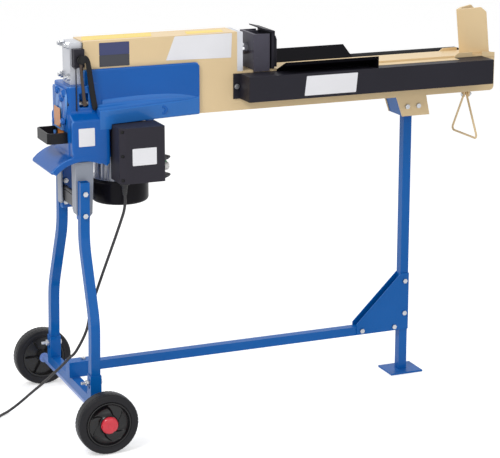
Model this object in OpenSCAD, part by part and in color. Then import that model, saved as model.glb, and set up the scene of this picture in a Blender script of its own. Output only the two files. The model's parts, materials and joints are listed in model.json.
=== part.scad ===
// Electric horizontal log splitter on a two-wheeled stand.
// Built around the wheel axle: X runs along the beam from the motor to the wedge, Z is up,
// the wheel axle is at X = 0, and the finished part is moved so that its box is centred.

/* [Stand] */
// Side of the square frame tube
tube = 23; // [20:1:28]
// Wall of the square frame tube
tube_wall = 2; // [1.5:0.5:3]
// Outer diameter of a wheel
wheel_d = 150; // [130:5:170]
// Width of a tyre
wheel_w = 38; // [30:1:44]
// Distance between the middle planes of the wheels
wheel_track = 542; // [520:2:580]
// Diameter of the wheel axle
axle_d = 16; // [12:1:20]
// Distance between the leg centre lines at the floor end
foot_spread = 336; // [320:2:370]
// Height of the leg sockets
socket_h = 56; // [40:2:70]
// Wall of the leg and brace sockets
socket_wall = 2; // [1.6:0.2:4]
// Height of the top ends of the legs
leg_top_z = 623; // [612:1:630]
// Lean of the legs towards the wedge in degrees
leg_lean = 1.1; // [0:0.1:2]
// Distance from the axle to the centre line of the rear post
post_x = 922.5; // [900:2.5:940]
// Length of the foot plate along the beam
foot_l = 94; // [80:2:110]
// Width of the foot plate
foot_w = 80; // [60:2:100]
// Thickness of the foot plate
foot_t = 5; // [4:1:8]
// Thickness of the gusset plates
gusset_t = 3; // [2:0.5:5]
// Height of the gusset plates
gusset_h = 156; // [130:2:170]
// Length of the gusset plates along the brace
gusset_l = 152; // [130:2:170]
// Thickness of the leg bracket sheet
bracket_t = 4; // [3:0.5:5]
// Width of a leg bracket along the beam
bracket_w = 46; // [40:1:50]
// Shank diameter of the frame bolts
bolt_d = 8; // [6:1:10]

/* [Beam] */
// Width of the beam
beam_w = 80; // [76:2:88]
// Height of the underside of the beam
beam_z = 757; // [740:1:780]
// Height of the beam under the log bed
bed_h = 98; // [90:2:110]
// Height of the cylinder casing above the log bed
casing_h = 98; // [94:1:110]
// Length of the cylinder casing
casing_l = 396; // [380:2:410]
// Distance from the axle to the free end of the beam
beam_end = 1159; // [1150:1:1180]
// Wall of the beam and casing
beam_wall = 4; // [3:0.5:4]
// Width of each log rail
rail_w = 65; // [50:1:70]
// Height of each log rail
rail_h = 63; // [50:1:80]
// Distance from the axle to the free end of the rails
rail_end = 1120; // [1100:5:1130]
// Sheet thickness of the rails and wings
sheet = 3; // [2:0.5:3]
// Length of each sloping log wing
wing_l = 256; // [220:2:280]
// Rise of each sloping log wing
wing_rise = 25; // [18:1:32]
// Height of the wedge above the bed
wedge_h = 120; // [90:2:140]
// Angle at which the wedge leans towards the ram
wedge_lean = 6; // [3:1:8]
// Plate thickness of the wedge
wedge_t = 8; // [6:1:10]

/* [Ram] */
// Bore of the hydraulic cylinder
bore_d = 60; // [54:1:62]
// Wall of the cylinder tube
cyl_wall = 5; // [4:0.5:5]
// Diameter of the piston rod
rod_d = 30; // [24:1:34]
// Length of the piston
piston_l = 25; // [20:1:30]
// Thickness of the cylinder's front flange
flange_t = 15; // [12:1:18]
// Length of the gland inside the cylinder
gland_l = 20; // [15:1:25]
// Thickness of the cylinder's end block
block_t = 31; // [24:1:34]
// Height of the pusher
pusher_h = 90; // [80:1:96]
// Length of the pusher's guide cheeks
cheek_l = 43; // [36:1:44]

/* [Drive] */
// Diameter of the motor body
motor_d = 124; // [116:2:126]
// Diameter of the fan cover
cover_d = 142; // [136:2:148]
// Height of the fan cover
cover_h = 58; // [50:1:64]
// Distance from the axle to the motor's centre line
motor_x = 134; // [130:1:138]
// Width of the switch box along the beam
box_w = 113; // [105:1:118]
// Height of the switch box
box_h = 136; // [125:1:140]
// Depth of the switch box
box_d = 75; // [65:1:80]
// Diameter of the mains cord
cord_d = 7; // [6:0.5:8]
// Swing of the control lever in degrees
lever_swing = 6; // [4:1:6]
// Travel of a push button
button_travel = 4; // [3:0.5:5]

/* [Hidden] */
$fn = 48;
eps = 0.01;
gap = 0.3;          // clearance between pieces that only stand side by side
fit = 0.05;         // radial running clearance of shafts and pins

blue = "#1f5fae";
tan_paint = "#dcbe86";
black_coat = "#3a3840";
zinc = "silver";
casting_grey = "#9aa0a6";

// Stand: heights and half widths
stand_x = 3;                                 // centre line of the cross-member and of the legs' foot
axle_z = wheel_d / 2;
cross_z = axle_z + axle_d / 2;               // underside of the cross-member
cross_top = cross_z + tube;
socket = tube + 2 * (gap + socket_wall);
leg_y = foot_spread / 2;
bracket_face = 78;                           // outer face of a leg bracket from the centre
leg_head_y = bracket_face + tube / 2;
bend_low_z = 263;                            // the S-bend of a leg starts and ends here
bend_high_z = 505;
cross_l = foot_spread + socket + 12;
brace_socket = 34;
brace_z = cross_top + brace_socket / 2 + 5.5; // centre line of the brace
brace_top = brace_z + brace_socket / 2;
brace_socket_x = [stand_x - 16, stand_x + 44];
post_left = post_x - tube / 2;
saddle_top = beam_z - gap;
saddle_h = 51;
post_top = saddle_top - saddle_h;
bolt_gap = 0.3;
hole_d = bolt_d + 2 * bolt_gap;
leg_bolt_z = [leg_top_z - 28, leg_top_z - 82];
bracket_x = -3;                              // left side of the leg brackets
bracket_z = 530;
bracket_depth = 34;
bracket_top = 668;
bracket_low = bracket_x + bracket_w - 6;     // right side of a bracket at its lower end
gusset_z = brace_z - tube / 2 + 1;           // bottom edge of the gussets
gusset_right = post_x + tube / 2 + 1;
gusset_left = gusset_right - gusset_l;
socket_bolt_z = cross_top + socket_h * 0.45;

// Beam, casing and ram
casing_x = 35;
casing_end = casing_x + casing_l;
bed_z = beam_z + bed_h;
casing_top = bed_z + casing_h;
half_w = beam_w / 2;
cyl_z = bed_z + casing_h / 2 + 1;
cyl_od = bore_d + 2 * cyl_wall;
flange_end = casing_end + flange_t;
piston_x = casing_x + 1;
stroke = casing_end - gland_l - 1 - (piston_x + piston_l);
tie_y = 24;
tie_z = 38;
tie_d = 10;
pusher_x = flange_end + 27;
cheek_t = 5;
cheek_gap = 1;
cheek_y = half_w + cheek_gap;
shoe = 4;                                    // how far the cheeks reach below the bed
rail_top = bed_z - shoe - 1.5;
ram_x = pusher_x + cheek_l + 5;
ram_t = 8;
pad_t = 8;
rail_x = casing_end + 6;
rail_gap = 0;
wing_in = cheek_y + cheek_t + 2;
wing_out = half_w + rail_w;
wing_end = 789;
wedge_x = 1075;                              // leading edge of the wedge on the bed
post_plate_t = 4;
handle_x = beam_end - 61;
handle_z = beam_z - 14;
wire_d = 6;

// Housing casting
arch_x = 16;                                 // centre of the arch over the legs
arch_top = 686;
arch_r = 110;
arch_z = arch_top - arch_r;
arch_ends = [135, 53];                       // angles at which the arch starts and ends
arch_wall = 12;
arch_y = 84;
housing_x = -12;
housing_top = bed_z - 6 - gap;
cheek_wall = 8;                              // thickness of the casting beside the beam
upper_y = half_w + gap + 16.7;
block_end = 83;
ledge_z = 770;
floor_z = beam_z - gap - 9;
floor_end = 206;                             // the floor under the beam stops behind the motor
lip_z = beam_z - 0.5;                        // lower edge of the arm's lip
arm_end = 329;
arm_top = bed_z + 31;
motor_top = 668;
body_bottom = 606;
cover_z = body_bottom - cover_h;
pump_z = 688;
gear_t = 18;
gear_r = 14;
gear_step = 28.4;
shaft_r = 8.5;
valve_y = 47;
valve_z = 806;
spool_r = 6;
lever_x = 24;
lever_z = 912;
lever_arm = lever_z - valve_z;
arm_x = lever_x + 10;                        // drive pin at the lower end of the lever's arm
spool_travel = lever_arm * sin(lever_swing);

// Switch box
box_x = 90;
box_back = motor_d / 2 + 4;
box_front = box_back + box_d;
lid_t = 14;
box_top = lip_z - 1.5;
box_z = box_top - box_h;
box_end = box_x + box_w;
button_z = box_z + 30;
guard_z = [-24, 20];                         // the two finger guards, from the buttons
button_r = 8.5;
start_y = box_back + 22;
stop_y = box_back + 43;
gland_x = box_x + 18;
gland_y = box_front - 27;
gland_h = 32;
gland_end = box_z - gland_h;

// Overall box of the machine without its cord, which the origin is centred on
hood_tip = arch_x + arch_r * cos(arch_ends[0]);
x_mid = (min(hood_tip, -wheel_d / 2) + beam_end) / 2;

// Route of the mains cord from its gland to the coil, in the built frame before centring
floor_z_cord = cord_d / 2 + 0.1;
cord_points = [[108, -114, 586], [108.5, -114, 570], [105, -113, 547], [98.5, -110, 524], [84, -107, 482],
    [68, -105, 439], [52, -103, 396], [37, -100, 353], [22, -96, 307.5], [11, -88, 248], [-12.3, -76, 195.5],
    [-25.4, -58, 173], [-40.5, -28, 141], [-54, -3, 116], [-67.3, 20, 92], [-92, 46, 60], [-121.6, 70, 25.2],
    [-148, 74, 7], [-170, 62, 3.6], [-187, 43, 3.6], [-198, 24, 3.6]];
// The coil lies flat on the floor beyond the left end
coil_turns = 5;
coil_mean_r = 40;
coil_pitch = cord_d + 0.9;
coil_centre = [-262, 22];
coil_start = -40;
coil_rings = 24;

module placed() { translate([-x_mid, 0, 0]) children(); }
module mirrored(far) { if (far) mirror([0, 1, 0]) children(); else children(); }

// Square bar or tube between two corners
module slab(a, b) { translate(a) cube([b[0] - a[0], b[1] - a[1], b[2] - a[2]]); }
module xcyl(r, x0, x1, y = 0, z = 0) { translate([x0, y, z]) rotate([0, 90, 0]) cylinder(r = r, h = x1 - x0); }
module ycyl(r, y0, y1, x = 0, z = 0) { translate([x, y1, z]) rotate([90, 0, 0]) cylinder(r = r, h = y1 - y0); }
module zcyl(r, z0, z1, x = 0, y = 0) { translate([x, y, z0]) cylinder(r = r, h = z1 - z0); }
// Outline in the XZ plane, from y0 to y1
module side_plate(points, y0, y1) { translate([0, y1, 0]) rotate([90, 0, 0]) linear_extrude(y1 - y0) polygon(points); }
// Outline in the YZ plane, from x0 to x1
module end_plate(points, x0, x1) { translate([x0, 0, 0]) rotate([90, 0, 90]) linear_extrude(x1 - x0) polygon(points); }

// ---------------------------------------------------------------- stand

// Centre line of a leg: straight at both ends, with two arcs between them
bend_share = 0.26;                           // part of the rise that each arc takes
function eased(s, a) = (s < a ? s * s / (2 * a) : s > 1 - a ? 1 - a - (1 - s) * (1 - s) / (2 * a) : s - a / 2) / (1 - a);
function leg_line(s) = leg_y + (leg_head_y - leg_y) * eased(s, bend_share);
leg_steps = 20;
// Legs, their sockets and their bolts lean together about the top of the cross-member
module leaned() {
    translate([stand_x, 0, cross_top]) rotate([0, leg_lean, 0]) translate([-stand_x, 0, -cross_top]) children();
}
leg_points = concat([[leg_y, cross_top + 2 * gap]],
    [for (i = [0 : leg_steps]) [leg_line(i / leg_steps), bend_low_z + (bend_high_z - bend_low_z) * i / leg_steps]],
    [[leg_head_y, leg_top_z]]);
function leg_band(w) = concat([for (p = leg_points) [-p[0] - w / 2, p[1]]],
    [for (i = [len(leg_points) - 1 : -1 : 0]) [-leg_points[i][0] + w / 2, leg_points[i][1]]]);

module leg() {
    color(blue) leaned() difference() {
        end_plate(leg_band(tube), stand_x - tube / 2, stand_x + tube / 2);
        end_plate(leg_band(tube - 2 * tube_wall), stand_x - tube / 2 + tube_wall, stand_x + tube / 2 - tube_wall);
        for (z = leg_bolt_z)
            ycyl(hole_d / 2, -leg_head_y - tube, -leg_head_y + tube, stand_x, z);
        xcyl(hole_d / 2, stand_x - tube, stand_x + tube, -leg_y, socket_bolt_z);
    }
}
module leg_near() { placed() leg(); }
module leg_far() { placed() mirrored(true) leg(); }

module cross_member() {
    color(blue) placed() {
        difference() {
            slab([stand_x - tube / 2, -cross_l / 2, cross_z], [stand_x + tube / 2, cross_l / 2, cross_top]);
            slab([stand_x - tube / 2 + tube_wall, -cross_l / 2 - 1, cross_z + tube_wall],
                [stand_x + tube / 2 - tube_wall, cross_l / 2 + 1, cross_top - tube_wall]);
        }
        for (side = [-1, 1]) leaned() difference() {
            slab([stand_x - socket / 2, side * leg_y - socket / 2, cross_top - 1],
                [stand_x + socket / 2, side * leg_y + socket / 2, cross_top + socket_h]);
            slab([stand_x - tube / 2 - gap, side * leg_y - tube / 2 - gap, cross_top + gap],
                [stand_x + tube / 2 + gap, side * leg_y + tube / 2 + gap, cross_top + socket_h + 1]);
            xcyl(hole_d / 2, stand_x - socket, stand_x + socket, side * leg_y, socket_bolt_z);
        }
        difference() {
            slab([brace_socket_x[0], -brace_socket / 2, cross_top],
                [brace_socket_x[1], brace_socket / 2, brace_top]);
            slab([brace_socket_x[0] + 4, -tube / 2 - gap, brace_z - tube / 2 - gap],
                [brace_socket_x[1] + 1, tube / 2 + gap, brace_z + tube / 2 + gap]);
            zcyl(hole_d / 2, brace_z, brace_z + brace_socket, brace_socket_x[1] - 18);
        }
    }
}

module wheel_axle() {
    reach = wheel_track / 2 + wheel_w / 2;
    color(zinc) placed() {
        ycyl(axle_d / 2, -reach - 5, reach + 5, 0, axle_z);
        for (side = [-1, 1]) {
            // welded stop collar inside each wheel, push-on clip outside it
            for (s = [wheel_track / 2 - wheel_w / 2 - 3, reach + 1])
                ycyl(axle_d / 2 + 5, side * s + (side > 0 ? 0 : -3), side * s + (side > 0 ? 3 : 0), 0, axle_z);
        }
    }
}

module brace_tube() {
    x0 = brace_socket_x[0] + 4 + gap;
    x1 = post_left - gap;
    color(blue) placed() difference() {
        slab([x0, -tube / 2, brace_z - tube / 2], [x1, tube / 2, brace_z + tube / 2]);
        slab([x0 - 1, -tube / 2 + tube_wall, brace_z - tube / 2 + tube_wall],
            [x1 + 1, tube / 2 - tube_wall, brace_z + tube / 2 - tube_wall]);
        for (p = gusset_bolt_points) ycyl(hole_d / 2, -tube, tube, p[0], p[1]);
        zcyl(hole_d / 2, brace_z, brace_z + tube, brace_socket_x[1] - 18);
    }
}

saddle_head = [33, 50];                      // how far the saddle reaches past the post at its top
saddle_foot = [17, 60];                      // and at its bottom
saddle_outline = [[post_left - saddle_head[0], saddle_top], [post_left + saddle_head[1], saddle_top],
    [post_left + saddle_foot[1], post_top], [post_left - saddle_foot[0], post_top]];
saddle_bolt_x = [post_left - 6, post_left + 26];
saddle_bolt_z = saddle_top - saddle_h / 2;
saddle_y = half_w - post_plate_t - gap;

module rear_post() {
    color(blue) placed() difference() {
        union() {
            slab([post_left, -tube / 2, foot_t], [post_left + tube, tube / 2, post_top + 4]);
            side_plate(saddle_outline, -saddle_y, saddle_y);
        }
        slab([post_left + tube_wall, -tube / 2 + tube_wall, foot_t - 1],
            [post_left + tube - tube_wall, tube / 2 - tube_wall, post_top + 5]);
        // the saddle is a folded channel, open at the top
        side_plate([[saddle_outline[0][0] + 4, saddle_top + 1], [saddle_outline[1][0] - 4, saddle_top + 1],
            [saddle_outline[2][0] - 5, post_top + 4], [saddle_outline[3][0] + 5, post_top + 4]],
            -saddle_y + 4, saddle_y - 4);
        for (x = saddle_bolt_x) ycyl(hole_d / 2, -half_w, half_w, x, saddle_bolt_z);
        for (p = gusset_bolt_points) ycyl(hole_d / 2, -tube, tube, p[0], p[1]);
    }
}

module foot_plate() {
    color(blue) placed()
        slab([post_x - foot_l / 2, -foot_w / 2, 0], [post_x + foot_l / 2, foot_w / 2, foot_t]);
}

gusset_bolt_points = [[post_x, gusset_z + gusset_h - 21], [post_x, gusset_z + 46],
    [post_left - 18, brace_z], [gusset_left + 15, brace_z]];

module gussets() {
    outline = [[gusset_left, gusset_z], [gusset_right, gusset_z], [gusset_right, gusset_z + gusset_h],
        [gusset_right - tube - 1, gusset_z + gusset_h], [gusset_left, gusset_z + 30]];
    color(blue) placed() for (side = [-1, 1]) difference() {
        side_plate(outline, side > 0 ? tube / 2 : -tube / 2 - gusset_t, side > 0 ? tube / 2 + gusset_t : -tube / 2);
        for (p = gusset_bolt_points) ycyl(hole_d / 2, -tube, tube, p[0], p[1]);
    }
}

// A bolt along Y with a head at y0 and a nut at y1, seated on those faces
module bolt_y(x, z, y0, y1) {
    ycyl(bolt_d / 2, y0 - 4, y1 + 9, x, z);
    translate([x, y0, z]) rotate([90, 0, 0]) cylinder(r = bolt_d * 0.85, h = 5, $fn = 6);
    translate([x, y1 + 6.5, z]) rotate([90, 0, 0]) cylinder(r = bolt_d * 0.85, h = 6.5, $fn = 6);
}
module bolt_x(y, z, x0, x1) { translate([0, y, z]) rotate([0, 0, -90]) translate([0, 0, -z]) bolt_y(0, z, x0, x1); }
rail_bolt_x = [rail_x - 9, rail_x + 200, rail_x + 420, rail_end - 40];
rail_bolt_z = rail_top - rail_h / 2;

module frame_bolts() {
    color(zinc) placed() {
        for (p = gusset_bolt_points) bolt_y(p[0], p[1], -tube / 2 - gusset_t, tube / 2 + gusset_t);
        for (x = saddle_bolt_x) bolt_y(x, saddle_bolt_z, -half_w, half_w);
        for (far = [false, true]) mirrored(far) {
            for (z = leg_bolt_z) leaned() bolt_y(stand_x, z, -leg_head_y - tube / 2, -bracket_face + bracket_t + lug_wall);
            // each leg socket is cross-bolted along the beam
            leaned() translate([0, -leg_y, 0]) rotate([0, 0, 90])
                bolt_y(0, socket_bolt_z, -stand_x - socket / 2, -stand_x + socket / 2);
            for (x = rail_bolt_x) translate([x, 0, rail_bolt_z]) rail_bolt();
        }
        // pinch bolt of the brace socket
        zcyl(bolt_d / 2, brace_z + tube / 2 - tube_wall - 2, brace_top + 1, brace_socket_x[1] - 18);
        translate([brace_socket_x[1] - 18, 0, brace_top]) cylinder(r = bolt_d * 0.85, h = 5, $fn = 6);
        // hinge bolt of the wire handle
        xcyl(handle_pin_r, handle_x - 12, handle_x + 17, 0, handle_z);
        xcyl(handle_pin_r + 1.5, handle_x - 12, handle_x - 9, 0, handle_z);
        translate([handle_x + 9, 0, handle_z]) rotate([0, 90, 0]) cylinder(r = 6, h = 5, $fn = 6);
    }
}
handle_pin_r = 3;
rail_hole_r = bolt_d / 2 + bolt_gap;
module rail_bolt() {
    // short bolt into a threaded hole of the beam wall, head inside the rail
    ycyl(bolt_d / 2, -half_w - sheet - 3, -half_w + beam_wall);
    ycyl(bolt_d * 0.8, -half_w - sheet - 5, -half_w - sheet);
}

lug_wall = 14;
module leg_bracket() {
    yo = -bracket_face;
    yi = yo + bracket_depth;
    color(casting_grey) difference() {
        union() {
            // web and two side flanges of the folded channel
            side_plate([[bracket_x, bracket_z + 10], [bracket_x + 9, bracket_z], [bracket_low - 9, bracket_z],
                [bracket_low, bracket_z + 10], [bracket_x + bracket_w, bracket_top],
                [bracket_x, bracket_top]], yo, yo + bracket_t);
            intersection() {
                union() {
                    slab([bracket_x, yo, bracket_z + 10], [bracket_x + bracket_t, yi, bracket_top]);
                    side_plate([[bracket_low - bracket_t, bracket_z + 10], [bracket_low, bracket_z + 10],
                        [bracket_x + bracket_w, bracket_top], [bracket_x + bracket_w - bracket_t, bracket_top]], yo, yi);
                }
                end_plate([[yo, bracket_z], [yi - 8, bracket_z + 10], [yi, bracket_z + 18], [yi, bracket_top],
                    [yo, bracket_top]], bracket_x, bracket_x + bracket_w);
            }
        }
        for (z = leg_bolt_z) leaned() ycyl(hole_d / 2, yo - 1, yo + bracket_t + 1, stand_x, z);
    }
}
module leg_bracket_near() { placed() leg_bracket(); }
module leg_bracket_far() { placed() mirrored(true) leg_bracket(); }

module bracket_spacer() {
    // dark cross plate between the brackets with a rod above it
    y = bracket_face - bracket_t - lug_wall - gap;
    color("dimgray") placed() {
        slab([lug_x0 + 2, -y, bracket_z + 18], [lug_x0 + 6, y, leg_bolt_z[0] - 18]);
        ycyl(5, -y, y, lug_x0 + 7, leg_bolt_z[0] - 14);
    }
}

// ---------------------------------------------------------------- wheels

rim_r = wheel_d / 2 - 20;
module tyre(far) {
    color("#2b2b2d") placed() mirrored(far) translate([0, -wheel_track / 2, axle_z]) rotate([90, 0, 0])
        rotate_extrude($fn = 96) polygon([[rim_r + gap, -wheel_w / 2 + 3], [wheel_d / 2 - 8, -wheel_w / 2],
            [wheel_d / 2 - 2, -wheel_w / 2 + 4], [wheel_d / 2, -wheel_w / 2 + 10], [wheel_d / 2, wheel_w / 2 - 10],
            [wheel_d / 2 - 2, wheel_w / 2 - 4], [wheel_d / 2 - 8, wheel_w / 2], [rim_r + gap, wheel_w / 2 - 3]]);
}
module rim(far) {
    hub_r = axle_d / 2 + 9;
    color("#38383b") placed() mirrored(far) translate([0, -wheel_track / 2, axle_z]) rotate([90, 0, 0]) {
        rotate_extrude($fn = 96) polygon([[axle_d / 2 + fit, -wheel_w / 2 + 1], [hub_r, -wheel_w / 2 + 1], [hub_r, -4],
            [rim_r - 6, -4], [rim_r - 4, -wheel_w / 2 + 2], [rim_r, -wheel_w / 2 + 2], [rim_r, wheel_w / 2 - 2],
            [rim_r - 4, wheel_w / 2 - 2], [rim_r - 8, wheel_w / 2 - 8], [hub_r + 6, wheel_w / 2 - 6], [hub_r + 3, wheel_w / 2],
            [axle_d / 2 + fit, wheel_w / 2]]);
        // ribs that stiffen the inner side of the web
        for (a = [0 : 60 : 300]) rotate([0, 0, a]) translate([hub_r - 1, -1.5, -wheel_w / 2 + 4])
            cube([rim_r - 4 - hub_r, 3, wheel_w / 2 - 7]);
    }
}
module hub_cap(far) {
    r = axle_d / 2 + 13;
    y0 = wheel_w / 2 + gap;
    color("#e23b4e") placed() mirrored(far) translate([0, -wheel_track / 2, axle_z]) rotate([90, 0, 0])
        rotate_extrude($fn = 64) polygon([[axle_d / 2 + 6, y0], [r, y0], [r, y0 + 5], [r - 4, y0 + 8.5], [0, y0 + 9.5],
            [0, y0 + 6.5], [axle_d / 2 + 6, y0 + 6.5]]);
}
module tyre_near() { tyre(false); }
module rim_near() { rim(false); }
module hub_cap_near() { hub_cap(false); }
module tyre_far() { tyre(true); }
module rim_far() { rim(true); }
module hub_cap_far() { hub_cap(true); }

// ---------------------------------------------------------------- beam and bed

module beam() {
    color(tan_paint) placed() difference() {
        union() {
            slab([casing_x, -half_w, beam_z], [casing_end, half_w, casing_top]);
            side_plate([[casing_end - 1, beam_z], [beam_end - 10, beam_z], [beam_end - 3, beam_z + 3],
                [beam_end, beam_z + 10], [beam_end, bed_z], [casing_end - 1, bed_z]], -half_w, half_w);
            // welded plates that the rear post is bolted between
            for (y = [-half_w, half_w - post_plate_t])
                side_plate([[post_left - saddle_head[0] - 4, beam_z + 1], [post_left + saddle_head[1] - 1, beam_z + 1],
                    [post_left + saddle_foot[1], post_top], [post_left - saddle_foot[0] - 2, post_top]], y, y + post_plate_t);
            // ears under the beam for the wire handle
            for (x = [handle_x - 9, handle_x + 5])
                slab([x, -7, handle_z - 6], [x + 4, 7, beam_z + 1]);
        }
        slab([casing_x - 1, -half_w + beam_wall, beam_z + beam_wall],
            [casing_end + 1, half_w - beam_wall, casing_top - beam_wall]);
        slab([casing_end, -half_w + beam_wall, beam_z + beam_wall],
            [beam_end - 12, half_w - beam_wall, bed_z - beam_wall]);
        for (x = saddle_bolt_x) ycyl(hole_d / 2, -half_w - 1, half_w + 1, x, saddle_bolt_z);
        for (x = rail_bolt_x) ycyl(rail_hole_r, -half_w - 1, half_w + 1, x, rail_bolt_z);
        xcyl(handle_pin_r + fit, handle_x - 20, handle_x + 20, 0, handle_z);
    }
}

module rail() {
    y0 = -half_w;
    y1 = -half_w - rail_w;
    color(black_coat) difference() {
        union() {
            slab([rail_x, y1, rail_top - sheet], [rail_end, y0, rail_top]);
            slab([rail_x, y1, rail_top - rail_h], [rail_end, y1 + sheet, rail_top]);
            slab([rail_x - 17, y0 - sheet, rail_top - rail_h], [rail_end - 5, y0, rail_top]);
            for (x = [rail_x, rail_end - sheet])
                slab([x, y1, rail_top - rail_h], [x + sheet, y0, rail_top]);
        }
        for (x = rail_bolt_x) ycyl(rail_hole_r, y0 - sheet - 1, y0 + 1, x, rail_bolt_z);
    }
}
module rail_near() { placed() rail(); }
module rail_far() { placed() mirrored(true) rail(); }

module wing() {
    top = bed_z + wing_rise;
    rise_in = bed_z - 0.5;
    profile = [[-wing_in, rail_top], [-wing_in, rise_in], [-wing_out, top], [-wing_out, top - 8],
        [-wing_out + sheet, top - 8], [-wing_out + sheet, top - 5.5], [-wing_in - sheet, rise_in - 2],
        [-wing_in - sheet, rail_top]];
    color(black_coat) {
        end_plate(profile, wing_end - wing_l, wing_end);
        // closed end web of the wing
        end_plate([[-wing_in, rail_top], [-wing_in, rise_in], [-wing_out, top], [-wing_out, rail_top]],
            wing_end - sheet, wing_end);
    }
}
module wing_near() { placed() wing(); }
module wing_far() { placed() mirrored(true) wing(); }

wedge_fold = [20, 18];
wedge_rear = [70, 35];
wedge_outline = [[0, 0], wedge_fold, wedge_rear, [wedge_rear[0], wedge_rear[1] - wedge_t],
    [wedge_fold[0] + 4, wedge_fold[1] - wedge_t + 1], [wedge_t * 1.5, 0],
    [wedge_fold[0] + 4, -wedge_fold[1] + wedge_t - 1], [wedge_rear[0], -wedge_rear[1] + wedge_t],
    [wedge_rear[0], -wedge_rear[1]], [wedge_fold[0], -wedge_fold[1]]];
module wedge() {
    color(tan_paint) placed() difference() {
        intersection() {
            translate([wedge_x, 0, bed_z]) rotate([0, -wedge_lean, 0]) intersection() {
                translate([0, 0, -20]) linear_extrude(wedge_h + 15) polygon(wedge_outline);
                // the upper rear corners are cut off
                side_plate([[-30, -20], [wedge_rear[0] + 10, -20], [wedge_rear[0] + 10, wedge_h - 18], [wedge_rear[0], wedge_h - 18],
                    [wedge_rear[0] - 12, wedge_h - 5], [-30, wedge_h - 5]], -60, 60);
            }
            slab([wedge_x - 40, -60, bed_z], [wedge_x + 120, 60, bed_z + 300]);
        }
    }
}

seat_t = 4;
module wedge_seat() {
    // side plates welded along the beam, with an open slot under the wedge's wings
    front = [[wedge_x - 38, rail_top], [wedge_x - 38, rail_top + 4], [wedge_x - 26, bed_z + 7],
        [wedge_x + 16, bed_z + 7], [wedge_x + 16, rail_top]];
    rear = [[wedge_x + 44, rail_top], [wedge_x + 44, bed_z + 7], [beam_end - 2, bed_z + 7],
        [beam_end - 2, bed_z - 8], [rail_end + 2, bed_z - 8], [rail_end + 2, rail_top]];
    color(tan_paint) placed() for (far = [false, true]) mirrored(far) {
        side_plate(front, -half_w - seat_t, -half_w);
        side_plate(rear, -half_w - seat_t, -half_w);
        slab([wedge_x + 16 - eps, -half_w - seat_t, rail_top], [wedge_x + 44 + eps, -half_w, bed_z - 3]);
    }
}

// Bent wire triangle: rounded corners from a chain of points, swept as one tube
wire_half = 64;
wire_drop = 107;
corner_r = 8;
wire_eye = wire_d / 2 * cos(22.5) + handle_pin_r + 0.12;
function ring_point(c, u, v, r, a) = c + r * cos(a) * u + r * sin(a) * v;
function arc(cy, cz, r, a0, a1, n) = [for (i = [0 : n]) [0, cy + r * cos(a0 + (a1 - a0) * i / n), cz + r * sin(a0 + (a1 - a0) * i / n)]];
slant = atan2(wire_drop - corner_r, wire_half - corner_r);
wire_line = concat(arc(0, 0, wire_eye, 90, 90 - slant, 6),
    arc(wire_half - corner_r, -wire_drop + corner_r, corner_r, 90 - slant, -90, 8),
    arc(-wire_half + corner_r, -wire_drop + corner_r, corner_r, 270, 90 + slant, 8),
    arc(0, 0, wire_eye, 90 + slant, 90 + 10, 6));
module wire_handle() {
    color(tan_paint) placed() translate([handle_x, 0, handle_z]) tube_along(unique(wire_line), wire_d, 8);
}

// ---------------------------------------------------------------- swept tubes

function unit(v) = v / norm(v);
function unique(p) = [for (i = [0 : len(p) - 1]) if (i == 0 || norm(p[i] - p[i - 1]) > 0.01) p[i]];
function heading(p, i) = unit(i == 0 ? p[1] - p[0] : i == len(p) - 1 ? p[i] - p[i - 1]
    : unit(p[i + 1] - p[i]) + unit(p[i] - p[i - 1]));
// The side direction is carried from ring to ring, so that the tube doesn't twist
function carried(v, t) = unit(v - (v * t) * t);
function first_side(t) = abs(t[2]) < 0.9 ? unit(cross([0, 0, 1], t)) : unit(cross([0, 1, 0], t));
function frames(p, i = 0, side = undef, acc = []) = i == len(p) ? acc
    : let (t = heading(p, i), s = i == 0 ? first_side(t) : carried(side, t))
        frames(p, i + 1, s, concat(acc, [[s, cross(t, s)]]));
module tube_along(p, d, sides) {
    f = frames(p);
    n = len(p);
    rings = [for (i = [0 : n - 1], k = [0 : sides - 1]) ring_point(p[i], f[i][0], f[i][1], d / 2, 360 * (k + 0.5) / sides)];
    skin = [for (i = [0 : n - 2], k = [0 : sides - 1]) let (a = i * sides + k, b = i * sides + (k + 1) % sides)
        each [[a, a + sides, b], [b, a + sides, b + sides]]];
    caps = [for (k = [1 : sides - 2]) each [[0, k, k + 1], [(n - 1) * sides, (n - 1) * sides + k + 1, (n - 1) * sides + k]]];
    polyhedron(rings, concat(skin, caps));
}
// Smooth curve through the points, with the same number of steps in each span
function spline(a, b, c, d, t) = 0.5 * (2 * b + (c - a) * t + (2 * a - 5 * b + 4 * c - d) * t * t
    + (3 * b - a - 3 * c + d) * t * t * t);
function smooth(p, steps) = concat([for (i = [0 : len(p) - 2], k = [0 : steps - 1])
    spline(i == 0 ? 2 * p[0] - p[1] : p[i - 1], p[i], p[i + 1], i + 2 < len(p) ? p[i + 2] : 2 * p[i + 1] - p[i], k / steps)],
    [p[len(p) - 1]]);

// ---------------------------------------------------------------- hydraulic cylinder and ram

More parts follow.
